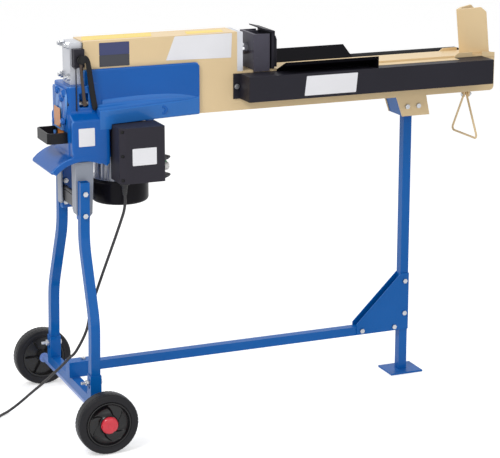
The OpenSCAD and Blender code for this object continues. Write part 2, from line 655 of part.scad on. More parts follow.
module cylinder_tube() {
    color("gray") placed() difference() {
        xcyl(cyl_od / 2, casing_x, casing_end, 0, cyl_z);
        xcyl(bore_d / 2, casing_x - 1, casing_end + 1, 0, cyl_z);
    }
}
block_w = 60;
module end_block() {
    color(casting_grey) placed() difference() {
        slab([casing_x - block_t, -block_w / 2, bed_z - 6], [casing_x, block_w / 2, casing_top - 3]);
        for (y = [-tie_y, tie_y], z = [-tie_z, tie_z])
            xcyl(tie_d / 2 + 0.2, casing_x - block_t - 1, casing_x + 1, y, cyl_z + z);
        // oil way from the casting below
        zcyl(4, bed_z - 7, cyl_z, casing_x - block_t / 2);
        xcyl(4, casing_x - block_t / 2, casing_x + 1, 0, cyl_z - 4);
    }
}
module front_flange() {
    color("lightsteelblue") placed() difference() {
        union() {
            slab([casing_end, -half_w, bed_z], [flange_end, half_w, casing_top - 1]);
            xcyl(bore_d / 2 - 0.05, casing_end - gland_l, casing_end + eps, 0, cyl_z);
        }
        xcyl(rod_d / 2 + fit, casing_end - gland_l - 1, flange_end + 1, 0, cyl_z);
        for (y = [-tie_y, tie_y], z = [-tie_z, tie_z])
            xcyl(tie_d / 2 + 0.2, casing_end - 1, flange_end - 4, y, cyl_z + z);
    }
}
module tie_rods() {
    color(zinc) placed() for (y = [-tie_y, tie_y], z = [-tie_z, tie_z]) {
        xcyl(tie_d / 2, casing_x - block_t - 14, flange_end - 5, y, cyl_z + z);
        translate([casing_x - block_t - 8, y, cyl_z + z]) rotate([0, 90, 0]) cylinder(r = 8.5, h = 8, $fn = 6);
    }
}
seal_w = 6;
module piston() {
    x1 = piston_x + piston_l;
    mid = (piston_x + x1) / 2;
    color("gray") placed() difference() {
        xcyl(bore_d / 2 - fit, piston_x, x1, 0, cyl_z);
        difference() {
            xcyl(bore_d / 2 + 1, mid - seal_w / 2, mid + seal_w / 2, 0, cyl_z);
            xcyl(bore_d / 2 - 4, mid - seal_w, mid + seal_w, 0, cyl_z);
        }
        xcyl(rod_d / 2 - 4, piston_x + 6, x1 + 1, 0, cyl_z);
    }
}
module piston_seal() {
    mid = piston_x + piston_l / 2;
    color("black") placed() difference() {
        xcyl(bore_d / 2 - fit, mid - seal_w / 2 + 0.1, mid + seal_w / 2 - 0.1, 0, cyl_z);
        xcyl(bore_d / 2 - 3.9, mid - seal_w, mid + seal_w, 0, cyl_z);
    }
}
rod_neck_r = rod_d / 2 - 5;
module piston_rod() {
    color(zinc) placed() {
        xcyl(rod_d / 2 - 4.05, piston_x + 6, piston_x + piston_l, 0, cyl_z);
        xcyl(rod_d / 2, piston_x + piston_l, pusher_x, 0, cyl_z);
        xcyl(rod_neck_r, pusher_x - eps, pusher_x + 22, 0, cyl_z);
        translate([pusher_x + 8, 0, cyl_z]) rotate([0, 90, 0]) cylinder(r = rod_neck_r * 1.6, h = 11, $fn = 6);
    }
}
inner_y = half_w - 4;
pusher_top = bed_z + pusher_h;
module pusher() {
    foot = bed_z + gap;
    color(black_coat) placed() difference() {
        union() {
            // rear plate, inner box and the two guide cheeks that reach past the bed's edges
            slab([pusher_x, -cheek_y - cheek_t, foot], [pusher_x + 8, cheek_y + cheek_t, pusher_top]);
            for (side = [-1, 1]) {
                slab([pusher_x, side > 0 ? cheek_y : -cheek_y - cheek_t, bed_z - shoe],
                    [pusher_x + cheek_l, side > 0 ? cheek_y + cheek_t : -cheek_y, pusher_top]);
                slab([pusher_x + 7, side > 0 ? inner_y - 5 : -inner_y, foot],
                    [ram_x, side > 0 ? inner_y : -inner_y + 5, pusher_top - 3]);
            }
            slab([pusher_x + 7, -inner_y, foot], [ram_x, inner_y, foot + 8]);
        }
        xcyl(rod_neck_r + 0.1, pusher_x - 1, pusher_x + 9, 0, cyl_z);
    }
}
module ram_plate() {
    w = cheek_y + cheek_t;
    color(black_coat) placed() {
        slab([ram_x, -w, bed_z + 2], [ram_x + ram_t, w, pusher_top + 3]);
        // pressing pad with clipped upper corners
        end_plate([[-w + 4, bed_z + 5], [w - 4, bed_z + 5], [w - 4, pusher_top - 16], [w - 12, pusher_top - 8],
            [-w + 12, pusher_top - 8], [-w + 4, pusher_top - 16]], ram_x + ram_t - eps, ram_x + ram_t + pad_t);
        // lip folded back over the pusher
        side_plate([[ram_x + ram_t, pusher_top + 2], [ram_x + ram_t, pusher_top + 6], [ram_x - 22, pusher_top + 13],
            [ram_x - 22, pusher_top + 10], [ram_x, pusher_top + 2]], -w - 3, w + 3);
    }
}

// ---------------------------------------------------------------- housing

lug_x0 = bracket_x + bracket_t + gap;
lug_x1 = bracket_low - bracket_t - gap;
lug_y1 = bracket_face - bracket_t;
module arch_shell() {
    intersection() {
        difference() {
            ycyl(arch_r, -arch_y, arch_y, arch_x, arch_z, $fn = 96);
            ycyl(arch_r - arch_wall, -arch_y - 1, arch_y + 1, arch_x, arch_z, $fn = 96);
        }
        side_plate([[arch_x, arch_z], for (a = [arch_ends[0], 90, arch_ends[1]]) [arch_x + 2 * arch_r * cos(a),
            arch_z + 2 * arch_r * sin(a)]], -arch_y, arch_y);
    }
}
// Tapering lip along the lower edge of each cheek, with a sloping top
module arm_lip() {
    intersection() {
        linear_extrude(1000) polygon([[block_end - 2, -arch_y], [arm_end - 4, -half_w - cheek_wall - 2],
            [arm_end, -half_w - cheek_wall + 1], [arm_end, -half_w - 1], [block_end - 2, -half_w - 1]]);
        end_plate([[-arch_y, lip_z], [-half_w - 1, lip_z], [-half_w - 1, ledge_z + 30],
            [-half_w - cheek_wall, ledge_z + 26], [-upper_y, ledge_z + 14], [-arch_y, ledge_z + 6]], block_end - 2, arm_end);
    }
}
module housing_side() {
    inner = -half_w - gap;
    outer = inner - cheek_wall;
    // cheek plate along the beam, front block over the arch, leg lug and arm lip
    side_plate([[casing_x - 5, floor_z], [floor_end, floor_z], [floor_end + 6, lip_z], [arm_end, lip_z],
        [arm_end, arm_top - 9], [arm_end - 6, arm_top],
        [casing_x - 3, arm_top]], outer, inner);
    difference() {
        slab([housing_x + 3, -arch_y, arch_z], [block_end, -upper_y + 1, ledge_z]);
        ycyl(arch_r - 1, -arch_y - 1, 0, arch_x, arch_z, $fn = 96);
    }
    end_plate([[-arch_y, ledge_z - 1], [-arch_y, ledge_z], [-upper_y, ledge_z + 14], [-upper_y, ledge_z - 1]],
        housing_x + 3, block_end);
    arm_lip();
    slab([lug_x0, -lug_y1, leg_bolt_z[1] - 16], [lug_x1, -lug_y1 + lug_wall, arch_z + arch_r - 4]);
}
// The upper body runs out into the cheeks with a gentle slope on each side
upper_flat = [housing_x + 6, arm_x + 14];
upper_right = upper_flat[1] + 60;
cheek_out = half_w + gap + cheek_wall;
upper_outline = [[housing_x, -upper_y + 6], [upper_flat[0], -upper_y], [upper_flat[1], -upper_y],
    [upper_right, -cheek_out + 0.5], [upper_right, cheek_out - 0.5], [upper_flat[1], upper_y],
    [upper_flat[0], upper_y], [housing_x, upper_y - 6]];
module housing() {
    color(blue) placed() difference() {
        union() {
            arch_shell();
            for (far = [false, true]) mirrored(far) housing_side();
            // upper body below the end block, floor under the beam, boss over the motor
            difference() {
                slab([housing_x, -upper_y, arch_z], [block_end - 8, upper_y, ledge_z + 8]);
                ycyl(arch_r - 1, -upper_y - 1, upper_y + 1, arch_x, arch_z, $fn = 96);
            }
            translate([0, 0, ledge_z]) linear_extrude(housing_top - ledge_z) polygon(upper_outline);
            slab([casing_x - 5, -half_w - gap, floor_z], [floor_end, half_w + gap, beam_z - gap]);
            zcyl(motor_d / 2 + 3, motor_top, floor_z + 1, motor_x);
            // boss for the side screw
            ycyl(11, -half_w - cheek_wall - 12, -half_w - 2, 228, floor_z + 24);
        }
        // pocket for the beam, motor, pump, shaft and valve
        slab([casing_x - gap, -half_w - gap, beam_z - gap], [arm_end + 1, half_w + gap, arm_top + 1]);
        zcyl(motor_d / 2 + 3, arch_z - 30, motor_top, motor_x);
        zcyl(gear_r + 2.1, pump_z, pump_z + gear_t + 0.6, motor_x);
        zcyl(gear_r + 2.1, pump_z, pump_z + gear_t + 0.6, motor_x - gear_step);
        zcyl(shaft_r + fit, motor_top - 1, pump_z + 1, motor_x);
        for (z = [pump_z - 8, pump_z + gear_t]) zcyl(6 + fit, z, z + 9, motor_x - gear_step);
        xcyl(spool_r + fit, housing_x - 1, spool_x0 + spool_l + 2, -valve_y, valve_z);
        slab([arm_x - spool_travel - 5.5, -upper_y - 1, valve_z - 9],
            [arm_x + 6, -valve_y + 5, valve_z + 25]);
        for (z = leg_bolt_z, s = [-1, 1]) leaned()
            ycyl(hole_d / 2, s > 0 ? lug_y1 - lug_wall - 1 : -lug_y1 - 1, s > 0 ? lug_y1 + 1 : -lug_y1 + lug_wall + 1, stand_x, z);
        ycyl(5, -half_w - cheek_wall - 13, -half_w - 6, 228, floor_z + 24);
        zcyl(4, 788, housing_top + 1, casing_x - block_t / 2);
        for (p = cover_screw_points) xcyl(2.2, housing_x - 1, housing_x + 9, p[0], p[1]);
        for (s = [-1, 1]) xcyl(2.7, housing_x - 1, housing_x + 9, s * strap_y, strap_z);
        zcyl(4.2, lip_z - 1, lip_z + 5, bleed_x, -bleed_y);
    }
}
strap_y = 38;
strap_z = 724;
cover_screw_points = [[-40, 832], [12, 832], [-20, 817], [40, 750], [-30, 762]];
cover_outline = [[-52, 800], [-52, 826], [-44, 840], [46, 840], [50, 834], [50, 744], [34, 738], [-22, 738], [-28, 756]];
module end_cover() {
    color(blue) placed() difference() {
        union() {
            end_plate(cover_outline, housing_x - 5, housing_x);
            for (p = cover_screw_points) xcyl(7, housing_x - 8, housing_x - 5 + eps, p[0], p[1]);
        }
        for (p = cover_screw_points) xcyl(2.7, housing_x - 9, housing_x + 1, p[0], p[1]);
    }
}
bleed_x = 176;
bleed_y = half_w + 19.5;
module bleed_screw() {
    color(zinc) placed() {
        zcyl(4, lip_z - 4, lip_z + 4, bleed_x, -bleed_y);
        translate([bleed_x, -bleed_y, lip_z - 6]) cylinder(r = 6.5, h = 6, $fn = 6);
    }
}
module cover_screws() {
    color(zinc) placed() {
        for (p = cover_screw_points) {
            xcyl(2.1, housing_x - 8, housing_x + 8, p[0], p[1]);
            xcyl(4.5, housing_x - 11, housing_x - 8, p[0], p[1]);
        }
        for (s = [-1, 1]) {
            xcyl(2.6, housing_x - 6, housing_x + 8, s * strap_y, strap_z);
            xcyl(5, housing_x - 4 - strap_t, housing_x - strap_t, s * strap_y, strap_z);
        }
        for (z = lid_screw_z) {
            ycyl(1.95, -box_front + lid_t - 7, -box_front + lid_t + 8, box_x + 7, z);
            ycyl(3.8, -box_front + lid_t - gap - 8.5, -box_front + lid_t - gap - 6, box_x + 7, z);
        }
    }
}
strap_t = 4;
strap_h = 26;
strap_out = 49;
module strap_handle() {
    // flat band: two feet on the housing, two arms and the grip between them
    yo = strap_y + 11;
    color("#242426") placed() difference() {
        union() {
            for (s = [-1, 1]) {
                slab([housing_x - strap_t, s > 0 ? strap_y - 9 : -yo, strap_z - strap_h / 2],
                    [housing_x, s > 0 ? yo : -strap_y + 9, strap_z + strap_h / 2]);
                slab([housing_x - strap_out + 6, s > 0 ? yo - strap_t : -yo, strap_z - strap_h / 2],
                    [housing_x - strap_t + 1, s > 0 ? yo : -yo + strap_t, strap_z + strap_h / 2]);
                // clipped outer corners
                translate([housing_x - strap_out, 0, strap_z - strap_h / 2]) linear_extrude(strap_h)
                    polygon([[0, s * (yo - 8)], [8, s * yo], [8, s * (yo - strap_t)], [strap_t, s * (yo - 10)]]);
            }
            slab([housing_x - strap_out, -yo + 8 - eps, strap_z - strap_h / 2],
                [housing_x - strap_out + strap_t, yo - 8 + eps, strap_z + strap_h / 2]);
        }
        for (s = [-1, 1]) xcyl(3, housing_x - 9, housing_x + 1, s * strap_y, strap_z);
    }
}

block_y = block_w / 2 + 19;                  // outer face of the pivot block
blade_y = upper_y + 3.5;                     // the hand blade swings clear of the casting
blade_t = 4;
arm_t = 2.6;
pivot_r = 4;
rod_y = upper_y + 2;                         // the thin rod beside the casting
pin_r = 2.5;                                 // drive pin at the lower end of the arm
module lever_block() {
    color("#1e1e20") placed() difference() {
        union() {
            slab([lever_x - 15, -block_y, lever_z - 20], [lever_x + 11, -block_w / 2, lever_z + 24]);
            // thin rod that hangs from the block beside the casting
            slab([lever_x - 17, -rod_y - 2, lever_z - 20], [lever_x - 12, -block_y + 1, lever_z - 16]);
            zcyl(1.5, ledge_z + 20, lever_z - 17, lever_x - 14.5, -rod_y);
        }
        ycyl(pivot_r + fit, -block_y - 1, -block_y + 15, lever_x, lever_z);
    }
}
module lever_pivot() {
    color(zinc) placed() {
        ycyl(pivot_r, -blade_y - blade_t - 3, -block_y + 14, lever_x, lever_z);
        ycyl(pivot_r + 4, -blade_y - blade_t - 3.3, -blade_y - blade_t - gap, lever_x, lever_z);
    }
}
module control_lever() {
    color("#1b1b1d") placed() difference() {
        union() {
            ycyl(10, -blade_y - blade_t, -block_y - gap, lever_x, lever_z);
            // hand blade that hangs beside the pivot
            side_plate([[lever_x + 2, lever_z + 11], [lever_x + 16, lever_z + 6], [lever_x + 38, lever_z - 110],
                [lever_x + 36, lever_z - 120], [lever_x + 29, lever_z - 126], [lever_x + 20, lever_z - 120],
                [lever_x + 14, lever_z - 60], [lever_x + 3, lever_z - 8]], -blade_y - blade_t, -blade_y);
            // thin steel arm down to the valve, with the drive pin at its end
            side_plate([[lever_x - 5, lever_z], [lever_x + 5, lever_z], [arm_x + 3.5, valve_z - 4],
                [arm_x - 3.5, valve_z - 4]], -upper_y - 0.7 - arm_t, -upper_y - 0.7);
            ycyl(pin_r, -upper_y - 1, -valve_y + 2.5, arm_x, valve_z);
        }
        ycyl(pivot_r + fit, -blade_y - blade_t - 1, -block_y + 1, lever_x, lever_z);
    }
}
spool_x0 = housing_x + 24;
spool_l = 48;
module valve_spool() {
    slot = 2 * pin_r + 0.16;
    color(zinc) placed() difference() {
        xcyl(spool_r, spool_x0, spool_x0 + spool_l, -valve_y, valve_z);
        slab([arm_x - slot / 2, -valve_y - spool_r - 1, valve_z - 8], [arm_x + slot / 2, -valve_y + 3, valve_z + 8]);
    }
}
spring_turns = 6;
spring_r = 4.2;
module return_spring() {
    x0 = housing_x + 0.7;
    x1 = spool_x0 - 0.7;
    path = [for (i = [0 : spring_turns * 8]) [x0 + (x1 - x0) * i / (spring_turns * 8),
        -valve_y + spring_r * cos(360 * i / 8), valve_z + spring_r * sin(360 * i / 8)]];
    color(zinc) placed() tube_along(path, 1, 6);
}

// ---------------------------------------------------------------- motor and pump

rotor_r = 32;
shield_t = 4;
cover_wall = 3;
fan_w = 18;
module motor_body() {
    r = motor_d / 2;
    color("#b9bcbe") placed() difference() {
        union() {
            zcyl(r - 4, body_bottom, motor_top, motor_x, $fn = 72);
            // lower end shield, which the fan cover is pushed over
            zcyl(cover_d / 2 - cover_wall - fit, body_bottom, body_bottom + shield_t, motor_x, $fn = 96);
            // cooling ribs
            for (a = [0 : 15 : 345]) translate([motor_x, 0, body_bottom]) rotate([0, 0, a])
                translate([r - 6, -1.5, 0]) cube([6, 3, motor_top - body_bottom]);
            // pad that carries the switch box
            slab([motor_x - 34, -box_back + gap, body_bottom + 14], [motor_x + 34, 0, motor_top - 4]);
        }
        zcyl(rotor_r + 0.8, body_bottom + 14, motor_top - 14, motor_x);
        zcyl(bearing_r, body_bottom - 1, body_bottom + 9, motor_x);
        zcyl(bearing_r, motor_top - 9, motor_top + 1, motor_x);
        zcyl(shaft_r + 2, body_bottom - 1, motor_top + 1, motor_x);
    }
}
bearing_r = 17.5;
module motor_bearings() {
    color(zinc) placed() for (z = [body_bottom + 0.5, motor_top - 8.5]) difference() {
        zcyl(bearing_r, z, z + 8, motor_x);
        zcyl(shaft_r + fit, z - 1, z + 9, motor_x);
    }
}
module rotor_shaft() {
    color("gray") placed() {
        zcyl(shaft_r, cover_z + 14, pump_z + 2 - gap, motor_x);
        zcyl(shaft_r - 2, pump_z + 1, pump_z + gear_t, motor_x);
        zcyl(rotor_r, body_bottom + 15, motor_top - 15, motor_x);
    }
}
module fan() {
    z = cover_z + 16;
    color("#303033") placed() difference() {
        union() {
            zcyl(17, z, z + fan_w, motor_x);
            zcyl(cover_d / 2 - 12, z + fan_w - 3, z + fan_w, motor_x);
            for (a = [0 : 45 : 315]) translate([motor_x, 0, z]) rotate([0, 0, a])
                translate([14, -1.2, 0]) cube([cover_d / 2 - 28, 2.4, fan_w - 2]);
        }
        zcyl(shaft_r + 0.1, z - 1, z + fan_w + 1, motor_x);
    }
}
module fan_cover() {
    r = cover_d / 2;
    color("#1f1f21") placed() difference() {
        zcyl(r, cover_z, body_bottom + shield_t, motor_x, $fn = 96);
        zcyl(r - cover_wall, cover_z + 3, body_bottom + shield_t + 1, motor_x, $fn = 96);
        // air slots through the floor, in three rings
        for (ring = [0 : 2], a = [0 : 30 : 330]) translate([motor_x, 0, cover_z - 1]) rotate([0, 0, a])
            translate([20 + ring * 15, -2, 0]) cube([11, 4, 5]);
    }
}
// Simple spur gear of the oil pump: tooth flanks are straight
gear_teeth = 14;
function gear_outline(turn) = [for (i = [0 : gear_teeth - 1], q = [[11.6, -7.2], [14, -4.6], [15.8, -2.4], [15.8, 2.4], [14, 4.6], [11.6, 7.2]])
    let (a = turn + 360 * i / gear_teeth + q[1]) q[0] * [cos(a), sin(a)]];
module pump_drive_gear() {
    color(zinc) placed() difference() {
        translate([motor_x, 0, pump_z + 0.3]) linear_extrude(gear_t) polygon(gear_outline(0));
        zcyl(shaft_r - 1.9, pump_z - 1, pump_z + gear_t + 2, motor_x);
        zcyl(shaft_r + 0.2, pump_z - 1, pump_z + 2, motor_x);
    }
}
module pump_driven_gear() {
    color(zinc) placed() {
        translate([motor_x - gear_step, 0, pump_z + 0.3]) linear_extrude(gear_t) polygon(gear_outline(180 / gear_teeth));
        zcyl(6, pump_z - 7, pump_z + gear_t + 8, motor_x - gear_step);
    }
}

// ---------------------------------------------------------------- switch box

box_wall = 3;
lid_screw_z = [box_top - 9, box_z + box_h / 2, box_z + 9];
module switch_box() {
    yb = -box_back;
    yf = -box_front + lid_t;
    color("#2e2d31") placed() difference() {
        union() {
            slab([box_x, yf, box_z], [box_end, yb, box_top]);
            // pointed guards above and below the push buttons
            for (z = guard_z) translate([0, 0, button_z + z]) end_guard();
        }
        slab([box_x + 14, yf - 1, box_z + box_wall], [box_end - box_wall, yb - box_wall, box_top - box_wall]);
        for (y = [start_y, stop_y]) xcyl(button_r + 0.08, box_end - box_wall - 1, box_end + 1, -y, button_z);
        for (z = lid_screw_z) ycyl(2, yf - 1, yf + 9, box_x + 7, z);
        zcyl(gland_r + 0.1, box_z - 1, box_z + box_wall + 1, gland_x, -gland_y);
    }
}
module end_guard() {
    linear_extrude(3) polygon([[box_end - 1, -start_y + 13], [box_end + 20, -start_y + 4],
        [box_end + 20, -stop_y + 2], [box_end - 1, -stop_y - 12]]);
}
module box_lid() {
    // shallow cover with a bevelled strip along its left side
    y0 = -box_front;
    y1 = -box_front + lid_t - gap;
    outline = [[box_x, y1], [box_end, y1], [box_end, y0 + 2], [box_end - 2, y0], [box_x + 15, y0], [box_x, y0 + 9]];
    color("#333237") placed() difference() {
        translate([0, 0, box_z]) linear_extrude(box_h) polygon(outline);
        slab([box_x + 16, y0 + box_wall, box_z + box_wall], [box_end - box_wall, y1 + 1, box_top - box_wall]);
        for (z = lid_screw_z) {
            ycyl(2.1, y0 - 1, y1 + 1, box_x + 7, z);
            ycyl(4.2, y0 - 1, y1 - 6, box_x + 7, z);
        }
    }
}
gland_r = 9;
module cable_gland() {
    color("#1a1a1c") placed() translate([gland_x, -gland_y, gland_end]) rotate_extrude($fn = 32)
        polygon([[0, 0], [5, 0], [gland_r - 1, gland_h - 7], [gland_r + 3, gland_h - 6], [gland_r + 3, gland_h - gap], [gland_r, gland_h - gap],
            [gland_r, gland_h + 2], [0, gland_h + 2]]);
}
module push_button(y, tone) {
    color(tone) placed() {
        xcyl(button_r, box_end - box_wall - 2, box_end + 12, -y, button_z);
        xcyl(button_r + 1.5, box_end - box_wall - 2, box_end - box_wall, -y, button_z);
    }
}
module start_button() { push_button(start_y, "#2f8f5b"); }
module stop_button() { push_button(stop_y, "#e8e8e8"); }

// ---------------------------------------------------------------- mains cord

// The coil winds inwards on the floor, climbs a layer where it turns back, and winds out again
coil_steps = coil_turns * coil_rings;
function coil_s(i) = i / coil_steps;
function coil_r(s) = coil_mean_r + coil_pitch * coil_turns / 2 * (abs(2 * s - 1) - 0.5);
climb = 0.5 / coil_turns;
function ease(t) = let (c = t < 0 ? 0 : t > 1 ? 1 : t) c * c * (3 - 2 * c);
function coil_z(s) = floor_z_cord + (cord_d + 0.9) * ease((s - 0.5 + climb / 2) / climb);
function coil_point(i) = let (s = coil_s(i), a = coil_start - 360 * coil_turns * s)
    [coil_centre[0] + coil_r(s) * cos(a), coil_centre[1] + coil_r(s) * sin(a), coil_z(s)];
coil_turned = [for (i = [0 : coil_steps]) coil_point(i)];
// from the last turn the cord runs straight to the plug, rising to its axis
coil_dir = let (v = coil_turned[coil_steps] - coil_turned[coil_steps - 1]) unit([v[0], v[1], 0]);
tail_l = 56;
tail_steps = 7;
plug_r = 18;
plug_l = 53;
plug_z = plug_r + 0.3;
function tail_point(t) = let (p = coil_turned[coil_steps])
    [p[0] + coil_dir[0] * tail_l * t, p[1] + coil_dir[1] * tail_l * t, p[2] + (plug_z - p[2]) * ease(t * 1.15)];
coil_line = concat(coil_turned, [for (i = [1 : tail_steps]) tail_point(i / tail_steps)]);
coil_last = len(coil_line) - 1;
// least distance between the centre lines of different turns, less the cord's thickness
coil_gap = min([for (i = [0 : 2 : coil_last - 16]) min([for (j = [i + 16 : coil_last]) norm(coil_line[i] - coil_line[j])])]) - cord_d;
module cord_coil() {
    echo(coil_least_gap = coil_gap);
    color("#202022") placed() tube_along(coil_line, cord_d, 6);
}
// The cord runs straight into the start of the coil
cord_in = unit(coil_line[1] - coil_line[0]);
cord_route = concat([[gland_x, -gland_y, gland_end - 0.1]], [for (i = [1 : len(cord_points) - 1]) cord_points[i]],
    [coil_line[0] - cord_in * 10, coil_line[0] - cord_in * 0.4]);
module mains_cord() { color("#202022") placed() tube_along(smooth(cord_route, 3), cord_d, 8); }
module mains_plug() {
    at = coil_line[coil_last];
    color("#1c1c1e") placed() translate([at[0], at[1], plug_z]) rotate([0, 0, atan2(coil_dir[1], coil_dir[0])]) rotate([0, 90, 0]) {
        rotate_extrude($fn = 48) polygon([[0, 0.1], [cord_d / 2 + 1, 0.1], [cord_d / 2 + 2.5, 18], [plug_r - 3, 30],
            [plug_r, 34], [plug_r, plug_l - 1], [plug_r - 1, plug_l], [0, plug_l]]);
        for (y = [-9.5, 9.5]) translate([0, y, plug_l - 1]) cylinder(r = 2.4, h = 19);
    }
}

leg_near();
leg_far();
cross_member();
wheel_axle();
brace_tube();
rear_post();
foot_plate();
gussets();
frame_bolts();
leg_bracket_near();
leg_bracket_far();
bracket_spacer();
tyre_near();
rim_near();
hub_cap_near();
tyre_far();
rim_far();
hub_cap_far();
beam();
rail_near();
rail_far();
wing_near();
wing_far();
wedge();
wedge_seat();
wire_handle();
cylinder_tube();
end_block();
front_flange();
tie_rods();
piston();
piston_seal();
piston_rod();
pusher();
ram_plate();
housing();
end_cover();
cover_screws();
strap_handle();
lever_block();
control_lever();
lever_pivot();
valve_spool();
return_spring();
bleed_screw();
motor_body();
motor_bearings();
rotor_shaft();
fan();
fan_cover();
pump_drive_gear();
pump_driven_gear();
switch_box();
box_lid();
start_button();
stop_button();
cable_gland();
mains_cord();
cord_coil();
mains_plug();
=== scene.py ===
import json
import bmesh
import bpy
import numpy as np
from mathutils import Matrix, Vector
from math import atan2, cos, pi, radians, sin

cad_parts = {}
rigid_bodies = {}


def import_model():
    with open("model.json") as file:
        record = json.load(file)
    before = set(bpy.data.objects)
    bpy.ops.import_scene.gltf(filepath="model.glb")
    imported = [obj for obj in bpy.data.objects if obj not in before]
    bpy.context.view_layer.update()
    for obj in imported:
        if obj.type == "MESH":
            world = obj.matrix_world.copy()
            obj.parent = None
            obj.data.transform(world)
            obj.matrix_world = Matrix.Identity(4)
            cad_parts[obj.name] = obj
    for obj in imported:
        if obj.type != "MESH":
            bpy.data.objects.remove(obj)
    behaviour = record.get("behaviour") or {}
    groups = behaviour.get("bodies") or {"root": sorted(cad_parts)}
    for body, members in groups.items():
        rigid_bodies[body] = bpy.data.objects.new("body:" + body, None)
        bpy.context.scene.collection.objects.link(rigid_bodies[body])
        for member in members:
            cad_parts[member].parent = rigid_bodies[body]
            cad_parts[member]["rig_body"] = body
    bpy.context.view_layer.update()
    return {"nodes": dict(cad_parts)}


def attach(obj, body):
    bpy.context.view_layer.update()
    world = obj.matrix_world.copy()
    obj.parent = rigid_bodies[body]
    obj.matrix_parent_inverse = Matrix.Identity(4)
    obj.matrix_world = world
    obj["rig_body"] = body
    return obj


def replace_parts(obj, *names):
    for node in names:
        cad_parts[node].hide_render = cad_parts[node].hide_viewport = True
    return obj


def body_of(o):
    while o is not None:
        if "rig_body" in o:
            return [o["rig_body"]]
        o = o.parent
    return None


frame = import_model()

# ---- The view of the splitter ------------------------------------------------------------
# The machine is seen from the motor end, a little above the bed, through a long lens on a
# tripod about four and a half metres off. Sizes below are in millimetres from the axle.
AXLE = 542.0


def at(x, y, z):
    """Place in the row frame of a point given in millimetres ahead of, beside and above the axle."""
    return np.stack(np.broadcast_arrays((np.asarray(x, float) - AXLE) / 1000, np.asarray(y, float) / 1000,
                                        np.asarray(z, float) / 1000), -1)


lens_turn, lens_dip = radians(-22.62), radians(14.78)
looking = Vector((-sin(lens_turn) * cos(lens_dip), cos(lens_turn) * cos(lens_dip), -sin(lens_dip)))
tripod = bpy.data.objects.new("tripod", bpy.data.cameras.new("tripod"))
bpy.context.scene.collection.objects.link(tripod)
tripod.location = at(-1282.8, -4235.3, 1647.4)
tripod.rotation_euler = looking.to_track_quat("-Z", "Y").to_euler()
tripod.data.lens, tripod.data.sensor_width, tripod.data.clip_end = 133.51, 36.0, 60.0
bpy.context.scene.camera = tripod
bpy.context.scene.view_settings.view_transform = "Standard"

# ---- The mains cord ----------------------------------------------------------------------
# A round black rubber-sheathed lead of 7 mm. It leaves the gland under the switch box, hangs
# down between the legs to the floor at the left, and lies coiled there with its plug.


def srgb(*rgb):
    """Linear colour of a shade written as 0 to 255."""
    c = np.array(rgb, float) / 255
    return tuple(np.where(c < 0.04045, c / 12.92, ((c + 0.055) / 1.055) ** 2.4)) + (1.0,)


def add(name, points, faces, body, finish, smooth=None, uv=None):
    """A piece from its points (metres, row frame) and faces, shaded smooth below the angle smooth, riding on a body."""
    mesh = bpy.data.meshes.new(name)
    mesh.from_pydata(np.asarray(points, float).reshape(-1, 3).tolist(), [],
                     faces.tolist() if isinstance(faces, np.ndarray) else faces)
    if uv is not None:
        layer = mesh.uv_layers.new(name="along")
        loops = np.empty(len(mesh.loops), int)
        mesh.loops.foreach_get("vertex_index", loops)
        layer.data.foreach_set("uv", np.asarray(uv, np.float32)[loops].ravel())
    mesh.validate()
    piece = bpy.data.objects.new(name, mesh)
    bpy.context.scene.collection.objects.link(piece)
    if smooth is not None:
        mesh.polygons.foreach_set("use_smooth", np.ones(len(mesh.polygons), bool))
        mesh.set_sharp_from_angle(angle=radians(smooth))
    if finish is not None:
        mesh.materials.append(finish)
    if body is not None:
        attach(piece, body)
    return piece


def tube(line, radius, sides):
    """Points and faces of a round tube: each ring lies square to the line, its first side carried from ring to ring."""
    line = np.asarray(line, float)
    step = np.gradient(line, axis=0)
    step /= np.linalg.norm(step, axis=1)[:, None]
    side = np.cross([0, 0, 1.0], step[0]) if abs(step[0][2]) < 0.9 else np.cross([0, 1.0, 0], step[0])
    sides_along = []
    for t in step:
        side = side - (side @ t) * t
        side = side / np.linalg.norm(side)
        sides_along.append(side)
    first = np.array(sides_along)
    second = np.cross(step, first)
    a = np.linspace(0, 2 * pi, sides, endpoint=False)
    spokes = np.cos(a)[None, :, None] * first[:, None] + np.sin(a)[None, :, None] * second[:, None]
    rings = line[:, None] + radius * spokes
    n = len(line)
    i, k = np.meshgrid(np.arange(n - 1), np.arange(sides), indexing="ij")
    a0, a1 = i * sides + k, i * sides + (k + 1) % sides
    skin = np.stack([a0, a1, a1 + sides, a0 + sides], -1).reshape(-1, 4).tolist()
    ends = [list(range(sides))[::-1], list(range((n - 1) * sides, n * sides))]
    run = np.concatenate([[0], np.cumsum(np.linalg.norm(np.diff(line, axis=0), axis=1))])
    uv = np.stack(np.broadcast_arrays(np.arange(sides) / sides, run[:, None]), -1).reshape(-1, 2)
    return rings.reshape(-1, 3), skin + ends, uv


def group(name, inputs, outputs):
    """An empty node group with named float or colour sockets."""
    made = bpy.data.node_groups.new(name, "ShaderNodeTree")
    for label, kind, default in inputs:
        s = made.interface.new_socket(name=label, in_out="INPUT", socket_type=kind)
        s.default_value = default
    for label, kind in outputs:
        made.interface.new_socket(name=label, in_out="OUTPUT", socket_type=kind)
    return made, made.nodes.new("NodeGroupInput"), made.nodes.new("NodeGroupOutput")


def maths(tree, what, *values, clamp=False):
    """One maths node; numbers are set on its sockets and sockets are linked to it."""
    node = tree.nodes.new("ShaderNodeMath")
    node.operation, node.use_clamp = what, clamp
    for s, v in zip(node.inputs, values):
        if isinstance(v, (int, float)):
            s.default_value = v
        else:
            tree.links.new(v, s)
    return node.outputs[0]


